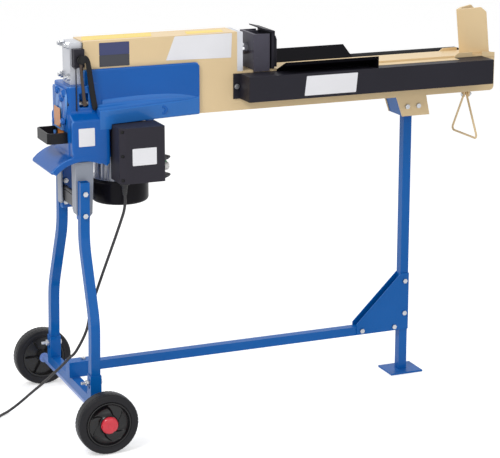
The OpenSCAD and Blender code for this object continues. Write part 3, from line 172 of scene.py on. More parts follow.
def noise(tree, place, scale, detail=3.0, rough=0.55):
    node = tree.nodes.new("ShaderNodeTexNoise")
    node.inputs["Scale"].default_value, node.inputs["Detail"].default_value = scale, detail
    node.inputs["Roughness"].default_value = rough
    tree.links.new(place, node.inputs["Vector"])
    return node.outputs["Fac"]


def band(tree, value, low, high, to_low=0.0, to_high=1.0):
    """Rises smoothly from to_low to to_high as value goes from low to high."""
    node = tree.nodes.new("ShaderNodeMapRange")
    node.interpolation_type = "SMOOTHSTEP"
    for s, v in zip(list(node.inputs)[1:5], (low, high, to_low, to_high)):
        s.default_value = v
    tree.links.new(value, node.inputs[0])
    return node.outputs[0]


def blend_colour(tree, how, share, a, b):
    node = tree.nodes.new("ShaderNodeMix")
    node.data_type, node.blend_type = "RGBA", how
    for s, v in ((node.inputs[0], share), (node.inputs[6], a), (node.inputs[7], b)):
        if hasattr(v, "links"):
            tree.links.new(v, s)
        else:
            s.default_value = v
    return node.outputs[2]


# Use: worn skin of any coloured finish. Its colour drifts in broad patches, dust settles low
# down and on what faces up, scuffs show another colour, and the skin has a fine grain.
use, use_in, use_out = group("workshop_use",
    [("Colour", "NodeSocketColor", (0.5, 0.5, 0.5, 1)), ("Bare", "NodeSocketColor", (0.6, 0.6, 0.6, 1))]
    + [(label, "NodeSocketFloat", v) for label, v in (("Patch", 6.0), ("Drift", 0.1), ("Grain Scale", 600.0),
       ("Grain", 0.3), ("Scuffs", 0.2), ("Dust", 0.2), ("Gloss", 0.35))],
    [("Colour", "NodeSocketColor"), ("Roughness", "NodeSocketFloat"), ("Height", "NodeSocketFloat")])
place = use.nodes.new("ShaderNodeTexCoord").outputs["Object"]
facing = use.nodes.new("ShaderNodeSeparateXYZ")
use.links.new(use.nodes.new("ShaderNodeNewGeometry").outputs["Normal"], facing.inputs[0])
spot = use.nodes.new("ShaderNodeSeparateXYZ")
use.links.new(place, spot.inputs[0])
broad = use.nodes.new("ShaderNodeTexNoise")
broad.inputs["Detail"].default_value = 4.0
use.links.new(place, broad.inputs["Vector"])
use.links.new(use_in.outputs["Patch"], broad.inputs["Scale"])
fine = use.nodes.new("ShaderNodeTexNoise")
fine.inputs["Detail"].default_value = 2.0
use.links.new(place, fine.inputs["Vector"])
use.links.new(use_in.outputs["Grain Scale"], fine.inputs["Scale"])
drift = maths(use, "MULTIPLY", maths(use, "SUBTRACT", broad.outputs["Fac"], 0.5), use_in.outputs["Drift"])
shade = use.nodes.new("ShaderNodeHueSaturation")
use.links.new(maths(use, "ADD", 1.0, maths(use, "MULTIPLY", drift, 2.0)), shade.inputs["Value"])
use.links.new(use_in.outputs["Colour"], shade.inputs["Color"])
stretched = use.nodes.new("ShaderNodeMapping")
stretched.inputs["Scale"].default_value = (14.0, 60.0, 90.0)
stretched.inputs["Rotation"].default_value = (0.3, 0.5, 0.2)
use.links.new(place, stretched.inputs["Vector"])
scuff = maths(use, "MULTIPLY", band(use, noise(use, stretched.outputs[0], 1.0, 6.0, 0.7), 0.66, 0.72),
              use_in.outputs["Scuffs"])
marked = blend_colour(use, "MIX", scuff, shade.outputs["Color"], use_in.outputs["Bare"])
low = band(use, spot.outputs["Z"], 0.30, 0.0)
up = band(use, facing.outputs["Z"], 0.2, 0.95, 0.25, 1.0)
dust = maths(use, "MULTIPLY", maths(use, "MULTIPLY", maths(use, "ADD", maths(use, "MULTIPLY", low, 0.8), 0.2), up),
             maths(use, "MULTIPLY", band(use, broad.outputs["Fac"], 0.35, 0.65), use_in.outputs["Dust"]))
settled = blend_colour(use, "MIX", dust, marked, (0.42, 0.39, 0.34, 1))
use.links.new(settled, use_out.inputs["Colour"])
use.links.new(maths(use, "ADD", maths(use, "ADD", use_in.outputs["Gloss"], maths(use, "MULTIPLY", drift, 0.8)),
    maths(use, "ADD", maths(use, "MULTIPLY", dust, 0.4), maths(use, "MULTIPLY", scuff, 0.2)), clamp=True),
    use_out.inputs["Roughness"])
use.links.new(maths(use, "SUBTRACT", maths(use, "MULTIPLY", fine.outputs["Fac"], use_in.outputs["Grain"]),
                    maths(use, "MULTIPLY", scuff, 0.15)), use_out.inputs["Height"])


def finish(name, colour, bare=(0.6, 0.6, 0.6, 1), gloss=0.35, patch=6.0, drift=0.1, grain_scale=600.0, grain=0.3,
           scuffs=0.2, dust=0.15, metal=0.0, coat=0.0, bump=0.0002, shine=0.4):
    """A material from the workshop_use group: colour, roughness and grain height feed one Principled shader."""
    made = bpy.data.materials.new(name)
    made.use_nodes = True
    tree = made.node_tree
    skin = tree.nodes["Principled BSDF"]
    worn = tree.nodes.new("ShaderNodeGroup")
    worn.node_tree = use
    for label, v in (("Colour", colour), ("Bare", bare), ("Patch", patch), ("Drift", drift),
            ("Grain Scale", grain_scale), ("Grain", grain), ("Scuffs", scuffs), ("Dust", dust), ("Gloss", gloss)):
        worn.inputs[label].default_value = v
    relief = tree.nodes.new("ShaderNodeBump")
    relief.inputs["Strength"].default_value, relief.inputs["Distance"].default_value = 1.0, bump
    tree.links.new(worn.outputs["Height"], relief.inputs["Height"])
    tree.links.new(relief.outputs[0], skin.inputs["Normal"])
    tree.links.new(worn.outputs["Colour"], skin.inputs["Base Color"])
    tree.links.new(worn.outputs["Roughness"], skin.inputs["Roughness"])
    skin.inputs["Metallic"].default_value, skin.inputs["Coat Weight"].default_value = metal, coat
    skin.inputs["Coat Roughness"].default_value, skin.inputs["Specular IOR Level"].default_value = 0.1, shine
    return made


sheath = finish("rubber_sheath", srgb(44, 43, 46), srgb(70, 69, 72), gloss=0.5, drift=0.2, grain_scale=900, grain=0.3,
                scuffs=0.3, dust=0.25)
tree = sheath.node_tree
length_round = tree.nodes.new("ShaderNodeUVMap")
length_round.uv_map = "along"
apart = tree.nodes.new("ShaderNodeSeparateXYZ")
tree.links.new(length_round.outputs[0], apart.inputs[0])
# two cores laid in a slow spiral push the sheath out: height follows the turn plus 60 turns a metre
lay = maths(tree, "SINE", maths(tree, "MULTIPLY", maths(tree, "ADD", maths(tree, "MULTIPLY", apart.outputs[0], 2.0),
                                                        maths(tree, "MULTIPLY", apart.outputs[1], 60.0)), 2 * pi))
relief = next(n for n in tree.nodes if n.type == "BUMP")
both = maths(tree, "ADD", maths(tree, "MULTIPLY", lay, 0.8), relief.inputs["Height"].links[0].from_socket)
tree.links.new(both, relief.inputs["Height"])

lead_d = 7.0
coil_rings, coil_turns, coil_mean, coil_pitch = 24, 5, 40.0, 7.9
turned = np.arange(coil_turns * coil_rings + 1) / (coil_turns * coil_rings)
ease = lambda t: np.clip(t, 0, 1) ** 2 * (3 - 2 * np.clip(t, 0, 1))
coil_reach = coil_mean + coil_pitch * coil_turns / 2 * (np.abs(2 * turned - 1) - 0.5)
coil_angle = np.radians(-40 - 360 * coil_turns * turned)
coil_line = np.stack([-261.5 + coil_reach * np.cos(coil_angle), 22 + coil_reach * np.sin(coil_angle),
                      3.6 + coil_pitch * ease((turned - 0.5 + 0.05) / 0.1)], -1)
out = coil_line[-1] - coil_line[-2]
out = np.array([out[0], out[1], 0]) / np.hypot(out[0], out[1])
t = np.arange(1, 8)[:, None] / 7
tail = coil_line[-1] + out * 56 * t + np.array([0, 0, 1.0]) * (18.3 - coil_line[-1][2]) * ease(t * 1.15)
coil_line = np.vstack([coil_line, tail])
into = coil_line[1] - coil_line[0]
into /= np.linalg.norm(into)
lead_points = np.array([[108, -114, 586.9], [108.5, -114, 570], [105, -113, 547], [98.5, -110, 524], [84, -107, 482],
    [68, -105, 439], [52, -103, 396], [37, -100, 353], [22, -96, 307.5], [11, -88, 248], [-12.3, -76, 195.5],
    [-25.4, -58, 173], [-40.5, -28, 141], [-54, -3, 116], [-67.3, 20, 92], [-92, 46, 60], [-121.6, 70, 25.2],
    [-148, 74, 7], [-170, 62, 3.6], [-187, 43, 3.6], [-198, 24, 3.6]] + [list(coil_line[0] - into * 10)]
    + [list(coil_line[0])])


def smooth_line(p, steps):
    """Catmull-Rom curve: each span is a cubic through its ends, with slopes from the points on either side."""
    p = np.vstack([2 * p[0] - p[1], p, 2 * p[-1] - p[-2]])
    a, b, c, d = p[:-3, None], p[1:-2, None], p[2:-1, None], p[3:, None]
    t = (np.arange(steps) / steps)[None, :, None]
    line = 0.5 * (2 * b + (c - a) * t + (2 * a - 5 * b + 4 * c - d) * t ** 2 + (3 * b - a - 3 * c + d) * t ** 3)
    return np.vstack([line.reshape(-1, 3), p[-2:-1]])


whole_lead = np.vstack([smooth_line(lead_points, 5)[:-1], smooth_line(coil_line, 2)])
whole_lead[:, 2] = np.maximum(whole_lead[:, 2], 3.55)
whole_lead = at(*whole_lead.T)
points, faces, uv = tube(whole_lead, lead_d / 2000, 14)
lead = add("mains_lead", points, faces, "machine", sheath, 50, uv)
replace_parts(lead, "mains_cord", "cord_coil")

# ---- The plug and the cable gland --------------------------------------------------------
# A moulded two-pin plug with plated round pins, and the tapered rubber gland that holds the
# lead where it leaves the switch box. Both are turned shapes with moulded rings.


def lathe(outline, centre, along, sides=64, scallop=None):
    """Turned surface: the outline's (distance along, radius) pairs carried round an axis through centre.
    scallop(distance, angle) is added to each radius."""
    outline = np.asarray(outline, float)
    along = np.asarray(along, float) / np.linalg.norm(along)
    first = np.cross(along, [0, 0, 1.0]) if abs(along[2]) < 0.9 else np.array([1.0, 0, 0])
    first /= np.linalg.norm(first)
    second = np.cross(along, first)
    a = np.linspace(0, 2 * pi, sides, endpoint=False)[None]
    r = np.repeat(outline[:, 1:2], sides, 1)
    if scallop is not None:
        r = r + scallop(outline[:, :1], a)
    spots = (np.asarray(centre, float) + outline[:, 0, None, None] * along + r[..., None]
             * (np.cos(a)[..., None] * first + np.sin(a)[..., None] * second))
    n = len(outline)
    i, k = np.meshgrid(np.arange(n - 1), np.arange(sides), indexing="ij")
    a0, a1 = i * sides + k, i * sides + (k + 1) % sides
    skin = np.stack([a0, a1, a1 + sides, a0 + sides], -1).reshape(-1, 4).tolist()
    closed = [list(range(sides))[::-1], list(range((n - 1) * sides, n * sides))] if outline[0, 1] > 0 else []
    return at(*spots.reshape(-1, 3).T), skin + closed


def turned_piece(name, outline, centre, along, body, skin, sides=48, smooth=40, scallop=None):
    """A turned surface as a piece on a body, with its material."""
    return add(name, *lathe(outline, centre, along, sides, scallop), body, skin, smooth)


def rounded_outline(corners, radius=1.0, steps=4):
    """The same outline with its corners turned into short arcs: each corner becomes a quadratic curve."""
    c = np.asarray(corners, float)
    made = [c[:1]]
    t = np.linspace(0, 1, steps + 1)[:, None]
    for p, q, r in zip(c[:-2], c[1:-1], c[2:]):
        back, on = p - q, r - q
        cut = min(radius, np.linalg.norm(back) * 0.45, np.linalg.norm(on) * 0.45)
        s, e = q + back / np.linalg.norm(back) * cut, q + on / np.linalg.norm(on) * cut
        made.append((1 - t) ** 2 * s + 2 * t * (1 - t) * q + t ** 2 * e)
    return np.vstack(made + [c[-1:]])


soft_black = finish("moulded_rubber", srgb(38, 38, 40), srgb(60, 60, 62), gloss=0.55, grain_scale=1500, grain=0.4,
    scuffs=0.1)
pin_plate = finish("nickel_plate", srgb(196, 194, 188), srgb(150, 146, 138), gloss=0.22, metal=1.0,
    scuffs=0.3, dust=0.0)
plug_from = coil_line[-1]
grip = lambda d, a: np.where((d > 33) & (d < 50), -0.9 * np.clip(np.cos(a * 12), 0, 1), 0.0)
plug_outline = rounded_outline([[0.1, 0.02], [0.1, 4.5], [4, 4.6], [5, 5.3], [7, 5.3], [8, 4.8], [10, 5.0], [11, 5.8],
    [13, 5.8], [14, 5.4], [17, 6.2], [24, 10], [30, 15], [34, 17.8], [44, 17.8], [50, 17.8], [52.6, 17.2], [52.9, 15.5],
    [52.0, 15], [52.0, 0.02]], 0.8)
plug = turned_piece("plug_body", plug_outline, plug_from, out, "machine", soft_black, 72, 35, grip)
across = np.cross(out, [0, 0, 1.0])
for s in (-9.5, 9.5):
    outline = rounded_outline([[50, 0.02], [50, 2.4], [69, 2.4], [70.4, 1.2], [70.4, 0.02]], 0.8)
    turned_piece(f"plug_pin_{int(s > 0)}", outline, plug_from + across * s, out, "machine", pin_plate,
                             24, 35)
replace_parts(plug, "mains_plug")
gland_outline = rounded_outline([[0, 0.02], [0, 4.7], [2, 4.9], [3, 5.6], [4.5, 5.6], [5.5, 5.2], [7.5, 5.5],
    [8.5, 6.3], [10, 6.3], [11, 5.9], [13, 6.2], [14, 7.0], [15.5, 7.0], [16.5, 6.7], [24, 7.8], [25, 9.5], [26, 12],
    [31.7, 12], [31.7, 9], [34, 9], [34, 0.02]], 0.6)
gland = turned_piece("gland_boot", gland_outline, (108, -114, 587.0), (0, 0, 1), "machine", soft_black,
                     48, 35)
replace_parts(gland, "cable_gland")
at(108, -114, 586.9).tolist()

# ---- The wheels --------------------------------------------------------------------------
# Solid rubber tyres on black moulded rims, 150 mm across, with a red cap pressed over each
# hub. The rim's outer face is a dish with three raised curved arms.
tyre_rubber = finish("tyre_rubber", srgb(21, 21, 26), srgb(66, 65, 66), gloss=0.42, drift=0.15, grain_scale=700,
    grain=0.6, scuffs=0.2, dust=0.03, shine=0.25)
rim_black = finish("rim_plastic", srgb(14, 14, 17), srgb(50, 50, 54), gloss=0.26, drift=0.12, grain_scale=1200,
    grain=0.2, scuffs=0.1, dust=0.06)
cap_red = finish("cap_plastic", srgb(214, 44, 62), srgb(232, 120, 124), gloss=0.28, drift=0.08, grain_scale=1500,
    grain=0.1, scuffs=0.1, dust=0.1, coat=0.3)
tread = lambda d, a: np.where(np.abs(np.abs(d) - 13.5) < 3.6, -0.8 * np.clip(np.cos(a * 48) * 3, 0, 1), 0.0)
tyre_outline = rounded_outline([[-15.5, 55.4], [-17.5, 56.6], [-17.2, 62], [-18.8, 66.5], [-18.9, 69], [-17.5, 72.6],
    [-14.5, 74.4], [-9.6, 74.9], [-9.2, 74.1], [-8.4, 74.1], [-8, 74.95], [0, 74.98], [8, 74.95], [8.4, 74.1],
    [9.2, 74.1], [9.6, 74.9], [14.5, 74.4], [17.5, 72.6], [18.9, 69], [18.8, 66.5], [17.2, 62], [17.5, 56.6],
    [15.5, 55.4]], 1.4)
rim_r, hub_r = 54.9, 17.5


def rim_face(r, a):
    """How far the rim's outer face stands out from the wheel's middle plane: a dish between hub and rim
    edge, with three arms that curve back as they go out, and a bead round the edge."""
    share = np.clip((r - hub_r) / (rim_r - hub_r), 0, 1)
    dish = 15.5 - 10.5 * np.sin(pi * np.clip(share * 1.15, 0, 1)) ** 0.7
    arm = np.cos(3 * (a - 0.9 * share - 0.5))
    raised = 6.0 * ease((arm + 0.15) / 0.5) * ease(share * 6) * ease((1 - share) * 6)
    bead = 2.5 * ease((r - (rim_r - 5)) / 2)
    return np.where(share >= 0.999, 15.5, np.maximum(dish, 5 + raised)) + bead * (share < 1)


for side, y in (("near", -271.0), ("far", 271.0)):
    turn = 1.0 if side == "near" else -1.0
    outward = (0, -turn, 0)
    body = "wheel_" + side
    points, faces = lathe(tyre_outline, (0, y, 75), outward, 192, tread)
    n, sides = len(tyre_outline), 192
    ring = np.arange(sides)
    faces = faces[:-2] + np.stack([(n - 1) * sides + ring, (n - 1) * sides + (ring + 1) % sides, (ring + 1) % sides,
        ring], -1).tolist()
    tyre = add("tyre_" + side + "_tread", points, faces, body, tyre_rubber, 40)
    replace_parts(tyre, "tyre_" + side)
    # rim: outer face from the height formula, inner side a hollow with ribs, joined at the bore and edge
    radii = np.concatenate([[8.3, 9.3], np.linspace(11, hub_r, 5), np.linspace(hub_r + 1, rim_r - 5, 26),
                            np.linspace(rim_r - 4, rim_r - 0.4, 6)])
    a = np.linspace(0, 2 * pi, 180, endpoint=False)
    r, th = np.meshgrid(radii, a, indexing="ij")
    face = rim_face(r, th)
    face[:2] = [[17.5], [19.0]]
    face[2:7] = 19.0
    rib = np.clip(1.6 - np.abs(((th * 6 / (2 * pi) + 0.5) % 1 - 0.5)) * 2 * pi * r / 6, 0, 1)
    under = np.where(r < hub_r - 2, -18.0, np.where(r > rim_r - 5, -16.5, -4.0 + rib * -9.5))
    outer = np.stack([r, face], -1)
    inner = np.stack([r, np.minimum(under, face - 2.5)], -1)[::-1]
    loop = np.concatenate([outer, np.stack([np.full((1, 180), rim_r), np.full((1, 180), 14.0)], -1),
                           np.stack([np.full((1, 180), rim_r), np.full((1, 180), -15.5)], -1), inner,
                           np.stack([np.full((1, 180), 8.05), np.full((1, 180), -17.5)], -1),
                           np.stack([np.full((1, 180), 8.05), np.full((1, 180), 17.0)], -1)])
    th = np.broadcast_to(a, loop.shape[:2])
    spots = at(loop[..., 0] * np.cos(th), y - turn * loop[..., 1], 75 + loop[..., 0] * np.sin(th))
    m = loop.shape[0]
    i, k = np.meshgrid(np.arange(m), np.arange(180), indexing="ij")
    i2, k2 = (i + 1) % m, (k + 1) % 180
    quads = np.stack([i * 180 + k, i * 180 + k2, i2 * 180 + k2, i2 * 180 + k], -1).reshape(-1, 4)
    if side == "near":
        quads = quads[:, ::-1]
    rim = add("rim_" + side + "_dish", spots, quads.tolist(), body, rim_black, 35)
    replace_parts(rim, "rim_" + side)
    cap_outline = rounded_outline([[19.3, 14.2], [19.3, 21], [21, 21.2], [24, 20.6], [27, 18.2], [28.6, 14],
        [28.8, 7.2], [28.0, 6.4], [28.0, 0.02]], 1.2)
    grooves = lambda d, a: np.where((d > 20.5) & (d < 27.5), -1.6 * np.clip(np.cos(a * 3) * 9 - 8, 0, 1), 0.0)
    cap = turned_piece("hub_cap_" + side + "_moulded", cap_outline, (0, y, 75), outward, body, cap_red, 96,
        35, grooves)
    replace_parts(cap, "hub_cap_" + side)

# ---- The stand ---------------------------------------------------------------------------
# Square steel tube, 23 mm across with rolled corners, bent and welded, then painted in a
# glossy blue. Zinc-plated bolts and nuts hold it together.


def from_work(name, work):
    """An object in the scene from a bmesh, which is then let go."""
    mesh = bpy.data.meshes.new(name)
    work.to_mesh(mesh)
    work.free()
    piece = bpy.data.objects.new(name, mesh)
    bpy.context.scene.collection.objects.link(piece)
    return piece


def settle(piece, finish):
    """Turns a piece's modifiers into its mesh, with one material."""
    shown = bpy.data.meshes.new_from_object(piece.evaluated_get(bpy.context.evaluated_depsgraph_get()))
    piece.modifiers.clear()
    piece.data = shown
    shown.materials.clear()
    shown.materials.append(finish)


def worked(node, width, segments=3, finish=None, angle=32):
    """A copy of a solid with its edges rolled over: doubles merged, flats joined, every sharp edge rounded."""
    solid = frame["nodes"][node]
    work = bmesh.new()
    work.from_mesh(solid.data)
    bmesh.ops.remove_doubles(work, verts=work.verts, dist=1e-6)
    bmesh.ops.dissolve_limit(work, angle_limit=radians(0.5), verts=work.verts, edges=work.edges)
    piece = from_work(node + "_finished", work)
    edge = piece.modifiers.new("rolled_edges", "BEVEL")
    edge.width, edge.segments, edge.limit_method, edge.angle_limit = width / 1000, segments, "ANGLE", radians(angle)
    edge.use_clamp_overlap = True
    flat = piece.modifiers.new("flat_faces", "WEIGHTED_NORMAL")
    flat.keep_sharp = True
    piece.data.polygons.foreach_set("use_smooth", np.ones(len(piece.data.polygons), bool))
    settle(piece, finish)
    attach(piece, body_of(solid)[0])
    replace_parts(piece, node)
    return piece


def shift_points(piece, pick, rise):
    """Raises some points of a finished copy by rise, in metres; pick chooses them from their places in metres."""
    spots = np.empty(len(piece.data.vertices) * 3)
    piece.data.vertices.foreach_get("co", spots)
    spots = spots.reshape(-1, 3)
    spots[pick(spots), 2] += rise
    piece.data.vertices.foreach_set("co", spots.ravel())


frame_blue = finish("stand_paint", srgb(0, 92, 170), srgb(60, 116, 172), gloss=0.4, patch=5, drift=0.14,
    grain_scale=260, grain=0.3, scuffs=0.05, dust=0.04, coat=0.22, shine=0.1)
for node in ("leg_near", "leg_far", "cross_member", "brace_tube", "rear_post", "gussets"):
    worked(node, 2.2 if "gusset" not in node else 0.8, 3, finish=frame_blue)
worked("foot_plate", 0.9, 2, finish=frame_blue)
zinc = finish("zinc_plate", srgb(190, 192, 196), srgb(120, 112, 100), gloss=0.3, patch=60, drift=0.35, metal=1.0,
              grain_scale=2500, grain=0.3, scuffs=0.3, dust=0.1)
for node in ("tie_rods", "bleed_screw"):
    worked(node, 0.6, 2, finish=zinc)
# the axle's paint is mixed a pale lavender blue to stand for the white floor mirrored in it: painted reflection
axle_paint_painted_reflection = finish("axle_paint_painted_reflection", srgb(118, 146, 208), srgb(170, 180, 200), gloss=0.3, patch=12, drift=0.15, scuffs=0.2,
    dust=0.0, coat=0.3)
worked("wheel_axle", 0.6, 2, finish=axle_paint_painted_reflection)
bolts = worked("frame_bolts", 0.6, 2, finish=zinc)
# the bolts of the leg sockets sit a little higher than in the solids and have long threaded ends
shift_points(bolts, lambda p: (np.abs(np.abs(p[:, 1]) - 0.168) < 0.014) & (p[:, 2] > 0.110) & (p[:, 2] < 0.150)
             & (p[:, 0] * 1000 + AXLE < 40), 0.012)
for side, y in (("near", -168.0), ("far", 168.0)):
    outline = rounded_outline([[-2, 0.02], [-2, 3.9], [20.5, 3.9], [21.6, 3.0], [21.6, 0.02]], 0.5)
    thread = lambda d, a: -0.35 * np.abs(np.sin(pi * d / 1.25 + a / 2))
    turned_piece("socket_bolt_end_" + side, outline, (-8.5, y, 143.4), (-1, 0, 0), "machine", zinc, 24,
        30, thread)
    turned_piece("socket_nut_" + side, [[3, 0.02], [3, 6.6], [3.6, 7.5], [9.4, 7.5], [10, 6.6], [10, 0.02]],
                 (-8.5, y, 143.4), (-1, 0, 0), "machine", zinc, 6, 20)
bracket_grey = finish("bracket_paint", srgb(142, 148, 160), srgb(96, 98, 104), gloss=0.42, drift=0.12,
    scuffs=0.2, coat=0.1)
for node in ("leg_bracket_near", "leg_bracket_far"):
    worked(node, 1.2, 3, finish=bracket_grey)
dark_steel = finish("dark_steel", srgb(70, 70, 74), srgb(130, 128, 124), gloss=0.4, metal=0.7, drift=0.3, scuffs=0.3)
worked("bracket_spacer", 0.6, 2, finish=dark_steel)

# ---- The beam and bed --------------------------------------------------------------------
# A welded box beam in a sand-coloured powder coat with the cylinder casing at one end and
# the wedge at the other; black powder-coated rails and sloping wings bolted along its sides.
tan_coat = finish("sand_coat", srgb(226, 200, 156), srgb(176, 150, 112), gloss=0.45, patch=4, drift=0.07,
    grain_scale=420, grain=0.4, scuffs=0.12, dust=0.04, coat=0.1, shine=0.3)
black_coat = finish("black_coat", srgb(38, 37, 45), srgb(70, 68, 76), gloss=0.45, patch=5, drift=0.2, grain_scale=520,
                    grain=0.4, scuffs=0.08, dust=0.02, shine=0.14)
# the wings and the far rail's fold get a much darker copy of the black coat, for the shade that falls on them: painted
# shade
wing_coat_painted_shade = finish("wing_coat_painted_shade", srgb(10, 9, 14), srgb(40, 38, 44), gloss=0.62, patch=5, drift=0.2, grain_scale=520,
    grain=0.4, scuffs=0.05, dust=0.0, shine=0.03)
worked("beam", 2.2, 3, finish=tan_coat)
worked("wedge", 0.9, 2, finish=tan_coat)
seat = worked("wedge_seat", 0.8, 2, finish=tan_coat)
shift_points(seat, lambda p: (p[:, 0] * 1000 + AXLE > 1146) & (p[:, 2] > 0.8495), -0.0042)
for node in ("rail_near", "rail_far"):
    worked(node, 1.5, 3, finish=black_coat)
for node in ("wing_near", "wing_far"):
    worked(node, 1.0, 3, finish=wing_coat_painted_shade)
# folded strips: the bed plate laps over the near rail's top, and the far rail's top is turned up along its outside


def strip(name, x0, x1, section, skin):
    """A closed section of (across, up) pairs carried straight along the beam, a little rounded at its corners."""
    section = rounded_outline(np.vstack([section, section[:1]]), 0.5, 3)
    if np.cross(section[1] - section[0], section[2] - section[1]) < 0:
        section = section[::-1]
    spots = np.stack(np.broadcast_arrays(np.array([[x0], [x1]]), section[None, :, 0], section[None, :, 1]), -1)
    m = len(section)
    k = np.arange(m)
    skirt = np.stack([k, (k + 1) % m, (k + 1) % m + m, k + m], -1).tolist()
    return add(name, at(*spots.reshape(-1, 3).T), skirt + [list(range(m))[::-1], list(range(m, 2 * m))],
        "machine", skin, 30)


strip("bed_lap_near", 790.5, 1036.5, np.array([[-72, 849.4], [-40.5, 849.4], [-40.5, 850.4], [-72, 850.4]]),
    tan_coat)
# the far fold takes the wings' darker coat, which is painted shade
strip("rail_far_fold", 424, 1118, np.array([[52, 849.0], [104.6, 849.0], [104.6, 852.8], [52, 852.8]]),
    wing_coat_painted_shade)
slide_coat = finish("slide_coat", srgb(72, 70, 82), srgb(120, 118, 126), gloss=0.42, patch=16, drift=0.3,
    grain_scale=380, grain=0.5, scuffs=0.3, dust=0.02, shine=0.2)
for node in ("pusher", "ram_plate"):
    worked(node, 1.2, 3, finish=slide_coat if node == "pusher" else black_coat)

# ---- The cylinder, its end block and the ram --------------------------------------------
# A drawn tube inside the casing, closed by a sawn aluminium block at the motor end and a
# machined flange at the other, all held by four tie rods. The chromed rod carries the pusher.
machined = finish("machined_aluminium", srgb(204, 206, 212), srgb(110, 110, 112), gloss=0.4, patch=9, metal=0.55,
    drift=0.16, grain_scale=900, grain=0.5, scuffs=0.25, dust=0.0)
steel = finish("drawn_steel", srgb(140, 140, 142), srgb(90, 90, 90), gloss=0.35, metal=0.9, drift=0.2)
chrome = finish("hard_chrome", srgb(214, 216, 220), srgb(180, 180, 182), gloss=0.1, metal=1.0, drift=0.05,
    scuffs=0.1, dust=0)
for node, width, skin in (("end_block", 1.0, machined), ("front_flange", 0.8, machined), ("cylinder_tube", 0.5, steel),
                          ("piston", 0.4, steel), ("piston_seal", 0.3, soft_black), ("piston_rod", 0.6, chrome)):
    worked(node, width, 3, finish=skin)

# ---- The cast housing --------------------------------------------------------------------
# One aluminium casting, painted blue: an arch over the leg heads with a rounded hood, a block
# at each side with a hollow ledge on top, and cheeks that clasp the beam.
cast_blue = finish("casting_paint", srgb(0, 90, 174), srgb(60, 110, 170), gloss=0.4, patch=6, drift=0.12,
    grain_scale=240, grain=0.6, scuffs=0.02, dust=0.02, coat=0.4, bump=0.00018, shine=0.08)
# painted highlight and painted shade: the colour turns pale blue over the casting's sharp edges and ridges where the
# lamps would glint, and dark navy in its corners and hollows where shade falls
tree = cast_blue.node_tree
sharp = tree.nodes.new("ShaderNodeNewGeometry").outputs["Pointiness"]
worn = next(n for n in tree.nodes if n.type == "GROUP")
painted_edge_highlight = blend_colour(tree, "MIX", band(tree, sharp, 0.515, 0.575, 0.0, 0.75), worn.outputs["Colour"],
    srgb(120, 172, 232))
painted_corner_shade = blend_colour(tree, "MIX", band(tree, sharp, 0.49, 0.44, 0.0, 0.6), painted_edge_highlight, srgb(0, 44, 104))
tree.links.new(painted_corner_shade, tree.nodes["Principled BSDF"].inputs["Base Color"])


def ring_skin(n, m, closed=True):
    """Quads of n rings of m points each, every ring joined to the next, with a flat face at both ends."""
    i, k = np.meshgrid(np.arange(n - 1), np.arange(m), indexing="ij")
    k2 = (k + 1) % m
    skin = np.stack([i * m + k, i * m + k2, (i + 1) * m + k2, (i + 1) * m + k], -1).reshape(-1, 4).tolist()
    return skin + ([list(range(m))[::-1], list(range((n - 1) * m, n * m))] if closed else [])


def arch_rim(side):
    """Thick rolled rim of the arch: a rounded oblong (a superellipse of power four) carried round the arch's
    centre from the hood's tip to the motor's side, where it narrows and runs out."""
    t = np.radians(np.linspace(137, 52, 70))[:, None]
    u = np.linspace(0, 2 * pi, 24, endpoint=False)[None]
    share = np.clip((t - radians(52)) / radians(12), 0.25, 1)
    c, d = np.cos(u), np.sin(u)
    r = 110.3 - 8.2 * share + 8.2 * share * np.sign(c) * np.abs(c) ** 0.5
    y = side * (81.4 + 3.0 * np.sign(d) * np.abs(d) ** 0.5) + 0 * t
    return at(16 + r * np.cos(t), y, 576 + r * np.sin(t)).reshape(-1, 3), ring_skin(70, 24)


def ledge_hollow(side):
    """Filler over the block: its section is a quarter-round hollow from the block's edge up to the upper body."""
    t = np.linspace(0, pi / 2, 12)
    y = side * np.concatenate([[83.6], 83.4 - 25.6 * np.sin(t), [55.5]])
    z = np.concatenate([[764.0], 769.5 + 15 * (1 - np.cos(t)), [764.0]])
    spots = np.stack(np.broadcast_arrays(np.array([[-9.0], [60.0]]), y[None], z[None]), -1)
    return at(*spots.reshape(-1, 3).T), ring_skin(2, len(y))


parts = [arch_rim(-1), arch_rim(1), ledge_hollow(-1), ledge_hollow(1)]
tip = radians(136.5)
parts.append(tube(at(16 + 105.6 * cos(tip), np.linspace(-80, 80, 30), 576 + 105.6 * sin(tip)), 0.0048, 14)[:2])
for side in (-1, 1):
    # rounded post at the block's left corner
    parts.append(tube(at(-8.5, side * 80.5, np.linspace(690, 766, 20)), 0.0036, 12)[:2])
work = bmesh.new()
work.from_mesh(frame["nodes"]["housing"].data)
bmesh.ops.remove_doubles(work, verts=work.verts, dist=1e-6)
for v in work.verts:
    x, y, z = v.co.x * 1000 + AXLE, abs(v.co.y) * 1000, v.co.z * 1000
    if 100 < x < 112 and y < 48.4 and 768 < z < 850:
        v.co.x = (64 - AXLE) / 1000
for spots, skin in parts:
    made = [work.verts.new(v) for v in spots.tolist()]
    for f in skin:
        work.faces.new([made[j] for j in f])
bmesh.ops.recalc_face_normals(work, faces=work.faces)
cast = from_work("housing_cast", work)
skin = cast.modifiers.new("one_skin", "REMESH")
skin.mode, skin.voxel_size, skin.use_smooth_shade = "VOXEL", 0.0021, True
even = cast.modifiers.new("fettled", "SMOOTH")
even.factor, even.iterations = 0.5, 5
fewer = cast.modifiers.new("fewer", "DECIMATE")
fewer.ratio = 0.42
settle(cast, cast_blue)
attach(cast, "machine")
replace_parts(cast, "housing")

